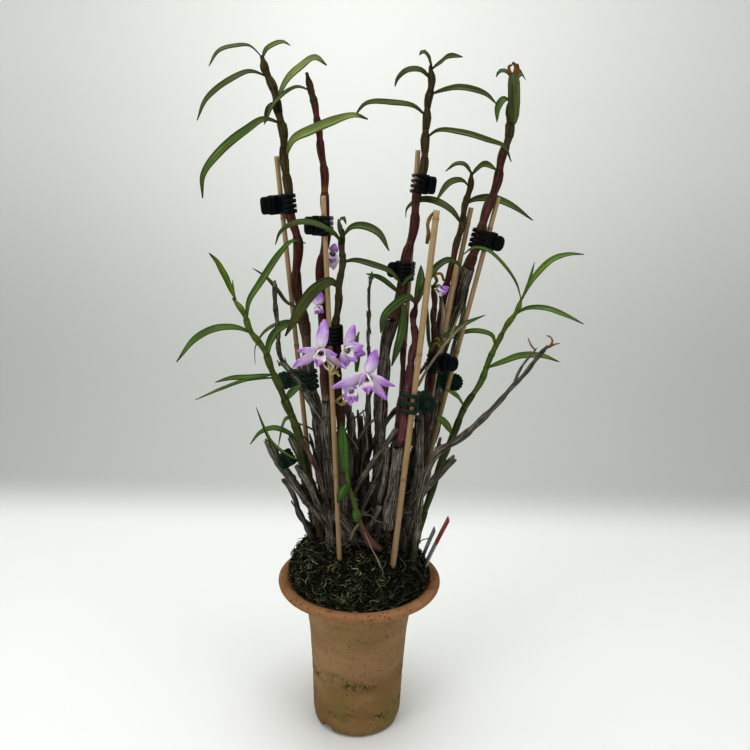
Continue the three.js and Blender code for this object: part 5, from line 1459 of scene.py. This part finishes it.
CLIP_COLOURS = {"clip_black": "07090a", "clip_green": "1a2b22"}


def spare_clip(name, data):
    """A small clip that is left on an old cane, holding nothing that moves."""
    wing_way, lean = math.radians(data["wing"]), math.radians(data["lean"])
    z_axis = np.array([math.sin(lean), 0, math.cos(lean)])
    y_axis = np.array([math.cos(wing_way), math.sin(wing_way), 0])
    y_axis -= z_axis * y_axis.dot(z_axis)
    y_axis /= np.linalg.norm(y_axis)
    axes = np.array([np.cross(y_axis, z_axis), y_axis, z_axis])
    origin = np.array(data["at"], float) + y_axis * 6.5
    for side, mirror in (("left", -1), ("right", 1)):
        skin = ClipSkin(axes, origin, mirror, CLIP_COLOURS[data["colour"]])
        jaw(skin, [(0, -6.5, 3.8)], name, data)
        skin.piece(f"{name}_{side}_skin", [CLIP_PLASTIC], PLANT, data["colour"])


def clip_pieces(name, data):
    axes, origin, circles = clip_place(data)
    colour = CLIP_COLOURS[data["colour"]]
    finish = CLIP_PLASTIC
    half = data["length"] / 2
    for side, mirror in (("fixed_jaw", -1), ("moving_jaw", 1)):
        skin = ClipSkin(axes, origin, mirror, colour)
        jaw(skin, circles, name, data)
        if side == "fixed_jaw":
            knuckle(skin, -half, -half + LUG)
            knuckle(skin, half - LUG, half)
            skin.rod([(0, 0, z) for z in np.linspace(-half - 0.2, half + 0.2, 7)], CLIP["pin"])
            turns = np.linspace(0, 2 * math.pi * 4.25, 80)
            coil = np.stack([1.6 * np.cos(turns), 1.6 * np.sin(turns), np.linspace(-1.7, 1.7, 80)], 1)
            coil = np.vstack([coil, [2.6, 4.2, 1.8]])
            skin.rod(coil, 0.34, 6, 1, srgb("a7abb0"))
            body = PLANT
        else:
            knuckle(skin, -half + LUG + 0.3, -half + LUG + 2.2)
            knuckle(skin, half - LUG - 2.2, half - LUG - 0.3)
            body = name + "_jaw"
        skin.piece(f"{name}_{side}_skin", [finish, STEEL], body, data["colour"], f"{name}_{side}")


# ---- Bamboo ----


def bamboo(name, stake):
    skin = Skin()
    foot, top = stake_ends(stake)
    length = np.linalg.norm(top - foot)
    spots, tangents, along = route_curve([tuple(foot), tuple(top)], 2.2)
    every = 110
    near = np.abs((along + every / 2) % every - every / 2)
    radii = STAKE_RADIUS * FULLER.get(name, 1.0) * (1 - 0.04 * along / length) + STAKE_RIDGE * np.exp(-((near / 1.3) ** 2))
    radii -= 0.14 * np.exp(-(((near - 3) / 1.2) ** 2))
    turns = full_turn(16)
    flute = 1 + 0.012 * np.cos(5 * turns[None, :] + along[:, None] * 0.01 + foot[0])
    rings, _ = turned(spots, tangents, radii[:, None] * flute, turns)
    tint = np.repeat(colour_at([(0, "86735a"), (0.35, "a58c68"), (1, "b59d78")], along / length)[:, None], 16, axis=1)
    tint = mix(tint, srgb("5b4630"), (0.6 * np.exp(-((near / 1.0) ** 2)))[:, None, None])
    skin.rings(rings, tint, stem_grain(turns, along, foot[0]), 0)
    skin.piece(name + "_bamboo", [BAMBOO_FINISH], PLANT, "bamboo", name)


# ---- Pot ----
POT_SIDES = 160
POT_PROFILE = [
    (8, 3), (30, 3), (31.5, 0.2), (36, 0.2), (40, 2), (41.5, 10), (42.6, 44), (42.1, 46), (42.9, 48.5), (43.3, 60),
    (45.6, 95), (48.6, 115), (51.5, 127), (57, 133), (73, 137), (75, 141), (73.5, 144.5), (68, 144.5), (62.5, 142),
    (52, 136.5), (44, 129), (41, 115), (37, 14), (33, 9), (8, 9),
]
ALGAE_BANDS = (0.026, 0.054)  # metres up the sides
THROWING_RINGS = {22: 0.15, 47: 0.45, 84: 0.25, 108: 0.15}  # height: how far the potter's finger sank
FOOT_NOTCH = {"width": 15, "height": 7.5, "reach": (23, 47), "angles": (229, 345, 105)}


def pot():
    profile = np.array(POT_PROFILE + POT_PROFILE[:1], float)
    run = np.concatenate([[0], np.cumsum(np.linalg.norm(np.diff(profile, axis=0), axis=1))])
    at = np.arange(0, run[-1], 1.8)
    loop = np.stack([np.interp(at, run, profile[:, k]) for k in (0, 1)], 1)
    loop = (np.roll(loop, 1, axis=0) + 2 * loop + np.roll(loop, -1, axis=0)) / 4
    loop[:, 1] = np.maximum(loop[:, 1] - loop[:, 1].min(), 0)
    outside = (loop[:, 0] > 38) & (loop[:, 1] < 125)
    for height, sunk in THROWING_RINGS.items():
        loop[:, 0] -= outside * sunk * np.exp(-(((loop[:, 1] - height) / 1.8) ** 2))
    turns = full_turn(POT_SIDES)
    wobble = 1 + 0.0025 * np.sin(3 * turns + 0.4) + 0.0015 * np.sin(7 * turns)
    grid = np.empty((len(loop), POT_SIDES, 3))
    grid[..., 0] = loop[:, :1] * wobble * np.cos(turns)
    grid[..., 1] = loop[:, :1] * wobble * np.sin(turns)
    grid[..., 2] = loop[:, 1:]
    low, high = FOOT_NOTCH["reach"]
    for angle in FOOT_NOTCH["angles"]:
        way = np.array([math.cos(math.radians(angle)), math.sin(math.radians(angle))])
        out = grid[..., 0] * way[0] + grid[..., 1] * way[1]
        side = np.abs(grid[..., 1] * way[0] - grid[..., 0] * way[1])
        arch = FOOT_NOTCH["height"] * np.sqrt(np.clip(1 - (2 * side / FOOT_NOTCH["width"]) ** 2, 0, 1))
        inside = (out > low) & (out < high) & (grid[..., 2] < arch)
        grid[..., 2] = np.where(inside, arch, grid[..., 2])
    n = len(loop)
    index = np.arange(n * POT_SIDES).reshape(n, POT_SIDES)
    after, beside = np.roll(index, -1, axis=0), np.roll(index, -1, axis=1)
    both = np.roll(after, -1, axis=1)
    faces = np.stack([index, after, both, beside], -1).reshape(-1, 4)[:, ::-1]
    skin = Skin()
    rim = smooth(134, 142, grid[..., 2])[..., None]
    low_sides = (1 - smooth(0, 90, grid[..., 2]))[..., None]
    tint = mix(mix(srgb("8d765a"), srgb("796344"), low_sides), srgb("8c664a"), rim)
    skin.add(grid, faces.tolist(), tint.reshape(-1, 3), grid.reshape(-1, 3) / GRAIN_MM)
    skin.piece("pot_terracotta", [TERRACOTTA], PLANT, "terracotta", "pot")


# ---- Moss ----
MOSS_PROFILE = [
    (0.5, 62), (37.6, 62), (40.2, 115), (43.2, 129.6), (51.4, 137.2), (61.5, 142.6), (62.4, 150), (60, 162),
    (54, 170), (42, 174.5), (24, 177), (0.5, 178),
]
MOSS_FALL = 0.16
MOSS_STRANDS = 9500
MOSS_BARE = 0.2  # the share of the way to the rim that the canes' feet hide
MOSS_COLOURS = ["1b1e13", "2c3120", "12140c", "434a2f", "60654a", "8b8c6c", "b9b596", "3d3224"]
MOSS_WEIGHTS = [4, 4, 4, 4, 4, 2.6, 1.3, 1.5]


def moss_lift(x, y, z):
    share = np.clip((z - 144) / 20, 0, 1)
    fall = MOSS_FALL * (np.maximum(0, -y - 5) + np.maximum(0, x - 15))
    lumps = 1.6 * np.sin(0.19 * x + 1) * np.cos(0.23 * y) + 1.1 * np.sin(0.41 * x + 0.33 * y)
    return share * (lumps - fall)


def moss_surface(radius_share, turn):
    """A point on the mound's open top, and its upward direction, from 0 in the middle to 1 at the rim."""
    top = np.array(MOSS_PROFILE[:4:-1])
    run = np.concatenate([[0], np.cumsum(np.linalg.norm(np.diff(top, axis=0), axis=1))])
    at = radius_share * run[-1]
    r, z = (float(np.interp(at, run, top[:, k])) for k in (0, 1))
    ahead = [float(np.interp(min(at + 1, run[-1]), run, top[:, k])) for k in (0, 1)]
    slope = np.array([ahead[0] - r, ahead[1] - z]) + [1e-4, 0]
    slope /= np.linalg.norm(slope)
    x, y = r * math.cos(turn), r * math.sin(turn)
    normal = np.array([-slope[1] * math.cos(turn), -slope[1] * math.sin(turn), slope[0]])
    return np.array([x, y, z + float(moss_lift(x, y, z))]), normal


def moss():
    skin = Skin()
    profile = np.array(MOSS_PROFILE, float)
    run = np.concatenate([[0], np.cumsum(np.linalg.norm(np.diff(profile, axis=0), axis=1))])
    at = np.arange(0, run[-1], 3.4)
    loop = np.stack([np.interp(at, run, profile[:, k]) for k in (0, 1)], 1)
    turns = full_turn(72)
    rings = np.empty((len(loop), 72, 3))
    rings[..., 0] = loop[:, :1] * np.cos(turns)
    rings[..., 1] = loop[:, :1] * np.sin(turns)
    x, y, z = rings[..., 0], rings[..., 1], np.broadcast_to(loop[:, 1:], rings.shape[:2])
    lumpy = 1.5 * np.sin(0.55 * x + 0.3 * y) * np.sin(0.5 * y - 0.2 * x) * np.clip((z - 140) / 10, 0, 1)
    rings[..., 2] = z + moss_lift(x, y, z) + lumpy
    skin.rings(rings, np.broadcast_to(srgb("0d0e07"), rings.shape), rings / GRAIN_MM)
    colours = [srgb(c) for c in MOSS_COLOURS]  # strand() makes them lighter on the left and towards the front: painted light
    for _ in range(MOSS_STRANDS):
        strand(skin, rng.choices(colours, MOSS_WEIGHTS)[0] * rng.uniform(0.7, 1.2))
    skin.piece("moss_strands", [MOSS_FINISH], PLANT, "moss", "moss")


def strand(skin, colour):
    turn = rng.uniform(0, 2 * math.pi)
    share = rng.random() ** 0.62
    start, normal = moss_surface(share, turn)
    # Painted light: lighter on the left and towards the front, where the light falls on the mound.
    colour = colour * float(mix(0.75, 1.45, smooth(-20, 50, -start[0] - 0.6 * start[1])))
    heading = rng.uniform(0, 2 * math.pi)
    side = np.array([math.cos(heading), math.sin(heading), 0])
    side = side - normal * side.dot(normal)
    side /= np.linalg.norm(side)
    across = np.cross(normal, side)
    length = rng.uniform(5, 13)
    lift, curl = rng.uniform(0.05, 0.5), rng.uniform(-1, 1)
    t = np.linspace(0, 1, 4)
    path = (
        start
        + np.outer(length * 0.75 * np.sin(1.6 * t), side)
        + np.outer(length * lift * (2.2 * t - 1.8 * t**2), normal)
        + np.outer(length * 0.45 * curl * t**2, across)
        - normal * 0.5
    )
    tangents = np.gradient(path, axis=0)
    tangents /= np.linalg.norm(tangents, axis=1, keepdims=True)
    radii = rng.uniform(0.3, 0.7) * (1 - 0.6 * t)
    rings, _ = turned(path, tangents, radii, full_turn(3))
    tint = mix(colour * 0.45, colour, t[:, None])[:, None] * np.ones((1, 3, 1))
    if share > MOSS_BARE:
        skin.rings(rings, tint, rings / GRAIN_MM)


# ---- Labels ----


def label(name, data):
    """A bare plastic label: a rounded plate with a coloured head."""
    skin = Skin()
    foot, top = (np.array(data[k], float) for k in ("foot", "top"))
    length = np.linalg.norm(top - foot)
    along = (top - foot) / length
    half, corner = data["width"] / 2, 1.6
    rows = np.concatenate([[0, 0.4, 0.9, corner], np.linspace(4, length - 4, 22),
                           [length - corner, length - 0.9, length - 0.4, length]])
    inset = np.maximum(0, corner - np.minimum(rows, length - rows))
    width = half - (corner - np.sqrt(np.maximum(corner**2 - inset**2, 0)))
    v = np.linspace(-1, 1, 9)
    out = np.cross(along, [0, 1, 0])
    bend = 0.5 * np.sin(np.pi * rows / length)
    grid = foot + np.outer(rows, along)[:, None] + out * bend[:, None, None]
    grid = grid + np.array([0, 1, 0]) * (width[:, None] * v[None, :])[..., None]
    tint = np.broadcast_to(srgb(data["colour"]), grid.shape).copy()
    if name == "label_red":
        head = smooth(0.52, 0.54, rows / length)[:, None, None]
        tint = mix(srgb("a9abad"), tint, head)
    skin.slab(grid, 0.8, tint, grid / GRAIN_MM)
    skin.piece(name + "_plate", [LABEL_FINISH], PLANT, name, name)


# ---- Materials ----


class Finish:
    """A node material on a Principled shader, built in small steps."""

    def __init__(self, name, **sockets):
        self.material = bpy.data.materials.new(name)
        self.material.use_nodes = True
        self.tree = self.material.node_tree
        self.shader = self.tree.nodes["Principled BSDF"]
        for socket, value in sockets.items():
            self.shader.inputs[socket.replace("_", " ").title().replace("Ior", "IOR")].default_value = value

    def node(self, kind, **values):
        node = self.tree.nodes.new(kind)
        for key, value in values.items():
            setattr(node, key, value)
        return node

    def link(self, source, target):
        self.tree.links.new(source, target)

    def tint(self):
        return self.node("ShaderNodeAttribute", attribute_name="tint").outputs["Color"]

    def grain(self, scale=(1, 1, 1)):
        source = self.node("ShaderNodeAttribute", attribute_name="grain").outputs["Vector"]
        return self.scaled(source, scale)

    def place(self, scale=(1, 1, 1)):
        return self.scaled(self.node("ShaderNodeTexCoord").outputs["Object"], scale)

    def scaled(self, source, scale):
        mapping = self.node("ShaderNodeMapping")
        mapping.inputs["Scale"].default_value = scale
        self.link(source, mapping.inputs["Vector"])
        return mapping.outputs["Vector"]

    def noise(self, vector, scale, detail=4.0, roughness=0.55, distortion=0.0):
        node = self.node("ShaderNodeTexNoise")
        self.link(vector, node.inputs["Vector"])
        for socket, value in (("Scale", scale), ("Detail", detail), ("Roughness", roughness),
                              ("Distortion", distortion)):
            node.inputs[socket].default_value = value
        return node.outputs["Fac"]

    def cells(self, vector, scale):
        node = self.node("ShaderNodeTexVoronoi")
        self.link(vector, node.inputs["Vector"])
        node.inputs["Scale"].default_value = scale
        return node.outputs["Distance"]

    def between(self, value, low, high, out=(0.0, 1.0)):
        node = self.node("ShaderNodeMapRange", interpolation_type="SMOOTHSTEP")
        self.link(value, node.inputs["Value"])
        for socket, number in zip(("From Min", "From Max", "To Min", "To Max"), (low, high, *out)):
            node.inputs[socket].default_value = number
        return node.outputs["Result"]

    def times(self, a, b):
        node = self.node("ShaderNodeMath", operation="MULTIPLY")
        self.link(a, node.inputs[0])
        self.link(b, node.inputs[1])
        return node.outputs["Value"]

    def blend(self, share, a, b, kind="MIX"):
        node = self.node("ShaderNodeMix", data_type="RGBA", blend_type=kind)
        for socket, value in ((node.inputs[0], share), (node.inputs[6], a), (node.inputs[7], b)):
            if isinstance(value, bpy.types.NodeSocket):
                self.link(value, socket)
            elif isinstance(value, str):
                socket.default_value = (*srgb(value), 1)
            else:
                socket.default_value = value
        return node.outputs[2]

    def relief(self, height, distance, strength=1.0, under=None):
        node = self.node("ShaderNodeBump")
        node.inputs["Distance"].default_value = distance
        node.inputs["Strength"].default_value = strength
        self.link(height, node.inputs["Height"])
        if under is not None:
            self.link(under, node.inputs["Normal"])
        return node.outputs["Normal"]

    def done(self, colour, normal=None, roughness=None):
        self.link(colour, self.shader.inputs["Base Color"])
        if normal is not None:
            self.link(normal, self.shader.inputs["Normal"])
        if roughness is not None:
            self.link(roughness, self.shader.inputs["Roughness"])
        return self.material


def grey(level):
    return (level, level, level, 1)


def stem_finish():
    f = Finish("cane_skin", specular_ior_level=0.08)
    streaks = f.noise(f.grain((3.2, 3.2, 0.55)), 2.2, 5, 0.65)
    lines = f.between(f.noise(f.grain((7, 7, 0.25)), 1.6, 3), 0.52, 0.66)
    specks = f.between(f.noise(f.place(), 900, 2), 0.6, 0.72)
    colour = f.blend(f.between(streaks, 0.3, 0.72), f.blend(0.45, f.tint(), "1c1610"), f.tint())
    pale = f.between(f.noise(f.grain((9, 9, 0.35)), 1.9, 3), 0.52, 0.62, (0, 0.42))
    colour = f.blend(pale, colour, f.blend(0.55, colour, "b9a97c"))
    colour = f.blend(f.times(lines, f.between(streaks, 0.3, 0.5, (0.2, 0.75))), colour, f.blend(0.75, colour, "120d0a"))
    colour = f.blend(f.between(specks, 0, 1, (0, 0.4)), colour, "2b2118")
    normal = f.relief(lines, 0.00012, 0.7, f.relief(streaks, 0.00018, 0.8))
    return f.done(colour, normal, f.between(streaks, 0.3, 0.8, (0.34, 0.62)))


def leaf_finish():
    f = Finish("leaf_skin", specular_ior_level=0.13)
    veins = f.noise(f.grain((2.6, 1.0, 0.05)), 2.4, 3, 0.6)
    clouds = f.noise(f.grain((0.3, 1.0, 0.35)), 1.8, 4, 0.55)
    specks = f.between(f.noise(f.place(), 500, 2), 0.66, 0.76, (0, 0.5))
    colour = f.blend(f.between(clouds, 0.35, 0.68), f.blend(0.35, f.tint(), "18240e"), f.tint())
    colour = f.blend(f.between(veins, 0.5, 0.62, (0, 0.5)), colour, f.blend(0.35, colour, "a9b878"))
    colour = f.blend(f.between(veins, 0.36, 0.46, (0.55, 0)), colour, "141c0c")
    colour = f.blend(specks, colour, "2e2e15")
    normal = f.relief(veins, 0.00014, 0.8)
    return f.done(colour, normal, f.between(clouds, 0.3, 0.7, (0.32, 0.5)))


def bark_finish():
    f = Finish("old_cane_bark", specular_ior_level=0.06)
    streaks = f.noise(f.grain((4.5, 4.5, 0.35)), 2.4, 6, 0.7)
    furrows = f.between(f.noise(f.grain((7, 7, 0.18)), 1.7, 3, 0.5, 0.3), 0.49, 0.58)
    blotches = f.noise(f.place(), 60, 3)
    colour = f.blend(f.between(streaks, 0.42, 0.64), f.blend(0.85, f.tint(), "15120e"), f.blend(0.3, f.tint(), "d3ccbc"))
    colour = f.blend(f.between(blotches, 0.52, 0.68, (0, 0.45)), colour, f.blend(0.5, colour, "d0c7b2"))
    colour = f.blend(f.between(furrows, 0, 1, (0, 0.92)), colour, "100c09")
    normal = f.relief(furrows, 0.0002, 0.9, f.relief(streaks, 0.0003, 0.9))
    return f.done(colour, normal, f.between(streaks, 0.3, 0.8, (0.6, 0.85)))


def petal_finish():
    f = Finish("petal_skin", specular_ior_level=0.35, sheen_weight=0.15, subsurface_weight=0.25,
               subsurface_scale=0.0015, roughness=0.5)
    veins = f.noise(f.grain((7.0, 1.0, 0.6)), 1.6, 2, 0.5)
    blush = f.noise(f.grain((1.2, 1.0, 1.4)), 1.4, 3)
    line = f.between(veins, 0.53, 0.64, (0, 0.42))
    colour = f.blend(line, f.tint(), f.blend(0.7, f.tint(), "84489f"))
    colour = f.blend(f.between(blush, 0.4, 0.7, (0, 0.38)), colour, "fbf6fa")
    return f.done(colour, f.relief(veins, 0.00012, 0.6))


def terracotta_finish():
    f = Finish("terracotta_clay", specular_ior_level=0.15)
    high = f.node("ShaderNodeSeparateXYZ")
    f.link(f.place(), high.inputs[0])
    level = high.outputs[2]
    rim = f.between(level, 0.128, 0.138, (0, 1))
    pits = f.times(f.between(f.cells(f.place(), 250), 0.08, 0.2, (1, 0)),
                   f.between(f.noise(f.place(), 60, 3), 0.44, 0.56))
    grit = f.times(f.times(rim, f.between(f.cells(f.place(), 300), 0.14, 0.3, (1, 0))),
                   f.between(f.noise(f.place(), 90, 3), 0.36, 0.52))
    wide = f.noise(f.place((1, 1, 1.8)), 14, 5, 0.6)
    fine = f.noise(f.place(), 260, 4, 0.65)
    rings = f.noise(f.place((0.3, 0.3, 26)), 6, 3)
    colour = f.blend(f.between(wide, 0.3, 0.7), f.blend(0.35, f.tint(), "6b4a30"), f.blend(0.25, f.tint(), "b89a78"))
    colour = f.blend(f.between(rings, 0.45, 0.7, (0, 0.14)), colour, "6f4c32")
    colour = f.blend(f.between(fine, 0.56, 0.74, (0, 0.5)), colour, "4f3423")
    film = f.times(f.between(f.noise(f.place((1, 1, 0.8)), 22, 4, 0.6), 0.45, 0.66),
                   f.between(level, 0.02, 0.12, (0.45, 0.12)))
    colour = f.blend(film, colour, "6a6a36")
    wavy = f.node("ShaderNodeMath", operation="MULTIPLY_ADD")
    f.link(f.noise(f.place(), 16, 3), wavy.inputs[0])
    wavy.inputs[1].default_value = 0.03
    f.link(level, wavy.inputs[2])
    level = wavy.outputs["Value"]  # raised by 15 mm on average
    for middle in ALGAE_BANDS:
        middle += 0.015
        band = f.times(f.between(level, middle - 0.011, middle, (0, 1)), f.between(level, middle, middle + 0.012, (1, 0)))
        patch = f.between(f.noise(f.place((1, 1, 1.6)), 26, 3, 0.6), 0.45, 0.6)
        dots = f.between(f.noise(f.place(), 320, 4, 0.75), 0.45, 0.55, (0, 0.95))
        colour = f.blend(f.times(f.times(band, patch), dots), colour, "2f3a14")
    colour = f.blend(pits, colour, "1c120d")
    colour = f.blend(grit, colour, "2a1a12")
    normal = f.relief(fine, 0.0004, 0.6, f.relief(rings, 0.0003, 0.6))
    normal = f.relief(f.between(pits, 0, 1, (1, 0)), 0.0005, 0.9, normal)
    return f.done(colour, normal, f.between(wide, 0.3, 0.7, (0.82, 0.95)))


def moss_finish():
    f = Finish("moss_fibre", specular_ior_level=0.12, roughness=0.85)
    colour = f.blend(f.between(f.noise(f.place(), 90, 4), 0.4, 0.62), f.blend(0.6, f.tint(), "0a0b05"), f.tint())
    return f.done(colour, f.relief(f.noise(f.place(), 700, 3), 0.0006))


def bamboo_finish():
    f = Finish("bamboo_cane", specular_ior_level=0.4)
    fibres = f.noise(f.grain((7, 7, 0.12)), 2.2, 4, 0.6)
    stains = f.noise(f.grain((1, 1, 0.5)), 1.3, 4)
    colour = f.blend(f.between(fibres, 0.35, 0.68), f.blend(0.45, f.tint(), "574530"), f.tint())
    colour = f.blend(f.between(stains, 0.5, 0.72, (0, 0.5)), colour, "6b563a")
    return f.done(colour, f.relief(fibres, 0.00012, 0.8), f.between(stains, 0.3, 0.7, (0.42, 0.62)))


def plastic_finish():
    f = Finish("clip_plastic", specular_ior_level=0.1)
    scuff = f.noise(f.place(), 300, 3)
    cloud = f.noise(f.place(), 70, 3)
    shade = f.blend(f.between(cloud, 0.3, 0.7), f.tint(), f.blend(0.04, f.tint(), "3a4044"))
    return f.done(shade, f.relief(scuff, 0.0001, 0.4), f.between(scuff, 0.3, 0.7, (0.22, 0.36)))


def steel_finish():
    f = Finish("spring_steel", metallic=1.0)
    scuff = f.noise(f.place(), 400, 3)
    return f.done(f.blend(f.between(scuff, 0.3, 0.7), "8d9095", "6c6f74"), None, f.between(scuff, 0.3, 0.7, (0.28, 0.45)))


def label_finish():
    f = Finish("label_plastic", specular_ior_level=0.5)
    scuff = f.noise(f.place((1, 1, 0.3)), 160, 4)
    colour = f.blend(f.between(scuff, 0.5, 0.75, (0, 0.35)), f.tint(), "4d4640")
    return f.done(colour, f.relief(scuff, 0.0001, 0.5), f.between(scuff, 0.3, 0.7, (0.3, 0.5)))


STEM_FINISH = stem_finish()
LEAF_FINISH = leaf_finish()
BARK_FINISH = bark_finish()
PETAL_FINISH = petal_finish()
TERRACOTTA = terracotta_finish()
MOSS_FINISH = moss_finish()
BAMBOO_FINISH = bamboo_finish()
CLIP_PLASTIC = plastic_finish()
STEEL = steel_finish()
LABEL_FINISH = label_finish()

# ---- Studio ----


def studio():
    """A pale floor that curves up into a backdrop, with painted shade in the fold and towards the sides, and soft
    lights.
    """
    depth = [(-9.0, 0), (0.5, 0)]
    bend = [(0.5 + 0.7 * math.sin(a), 0.7 - 0.7 * math.cos(a)) for a in np.linspace(0.05, math.pi / 2, 32)]
    outline = depth + bend + [(1.2, 4.0)]
    points = [(x, y, z) for y, z in outline for x in (-9.0, 9.0)]
    faces = [(2 * i, 2 * i + 1, 2 * i + 3, 2 * i + 2) for i in range(len(outline) - 1)]
    mesh = bpy.data.meshes.new("sweep")
    mesh.from_pydata(points, [], faces)
    mesh.polygons.foreach_set("use_smooth", [True] * len(faces))
    paper = Finish("paper_sweep", roughness=0.9, specular_ior_level=0.1)
    spot = paper.node("ShaderNodeSeparateXYZ")
    paper.link(paper.place(), spot.inputs[0])
    # The sweep's paint carries painted shade: darker where the floor turns up into the wall, and on the wall's left and
    # right.
    fade = paper.between(spot.outputs[1], 0.4, 0.6, (0.0, 1.0))
    rise = paper.between(spot.outputs[2], 0.05, 0.8, (0.0, 1.0))
    wall = paper.blend(rise, (0.515, 0.53, 0.5, 1), (0.85, 0.86, 0.82, 1))
    right = paper.between(spot.outputs[0], -0.2, 0.9, (0.0, 0.3))
    left = paper.between(spot.outputs[0], -0.9, 0.0, (0.28, 0.0))
    wall = paper.blend(left, paper.blend(right, wall, grey(0.2)), grey(0.2))
    # Painted shade: the floor's paint is darker towards the right.
    floor_paint_and_shade = paper.blend(right, (0.8, 0.81, 0.785, 1), grey(0.52))
    colour = paper.blend(fade, floor_paint_and_shade, wall)
    mesh.materials.append(paper.done(colour))
    floor = bpy.data.objects.new("sweep", mesh)
    bpy.context.scene.collection.objects.link(floor)
    world = bpy.data.worlds.new("tent")
    world.use_nodes = True
    world.node_tree.nodes["Background"].inputs["Color"].default_value = (0.97, 0.98, 1, 1)
    world.node_tree.nodes["Background"].inputs["Strength"].default_value = 0.5
    bpy.context.scene.world = world
    bpy.context.scene.view_settings.view_transform = "Standard"
    bpy.context.scene.view_settings.look = "Medium High Contrast"
    soft_light("top", (0.0, -0.1, 1.7), (0, 0, 0.3), 1.6, 15)
    soft_light("front_left", (-1.3, -1.3, 1.0), (0, 0, 0.3), 1.0, 9)
    soft_light("front_right", (1.4, -1.0, 0.9), (0, 0, 0.3), 1.0, 4)


def soft_light(name, spot, target, size, watts):
    data = bpy.data.lights.new(name, "AREA")
    data.shape = "DISK"
    data.size = size
    data.energy = watts
    light = bpy.data.objects.new(name, data)
    light.location = spot
    light.rotation_euler = (Vector(target) - Vector(spot)).to_track_quat("-Z", "Y").to_euler()
    bpy.context.scene.collection.objects.link(light)


# ---- Assembly ----
add_camera()
studio()
pot()
moss()
for stake_name, stake in STAKES.items():
    bamboo(stake_name, stake)
for cane_name, cane in CANES.items():
    leafy_cane(cane_name, cane)
for group_name, stems in OLD_CANES.items():
    old_canes(group_name, stems)
thicket()
wisps()
keiki()
for bloom_name, bloom_data in BLOOMS.items():
    bloom(bloom_name, bloom_data)
for clip_name, clip_data in CLIPS.items():
    clip_pieces(clip_name, clip_data)
spare_clip("clip_11", SPARE_CLIP)
for label_name, label_data in LABELS.items():
    label(label_name, label_data)
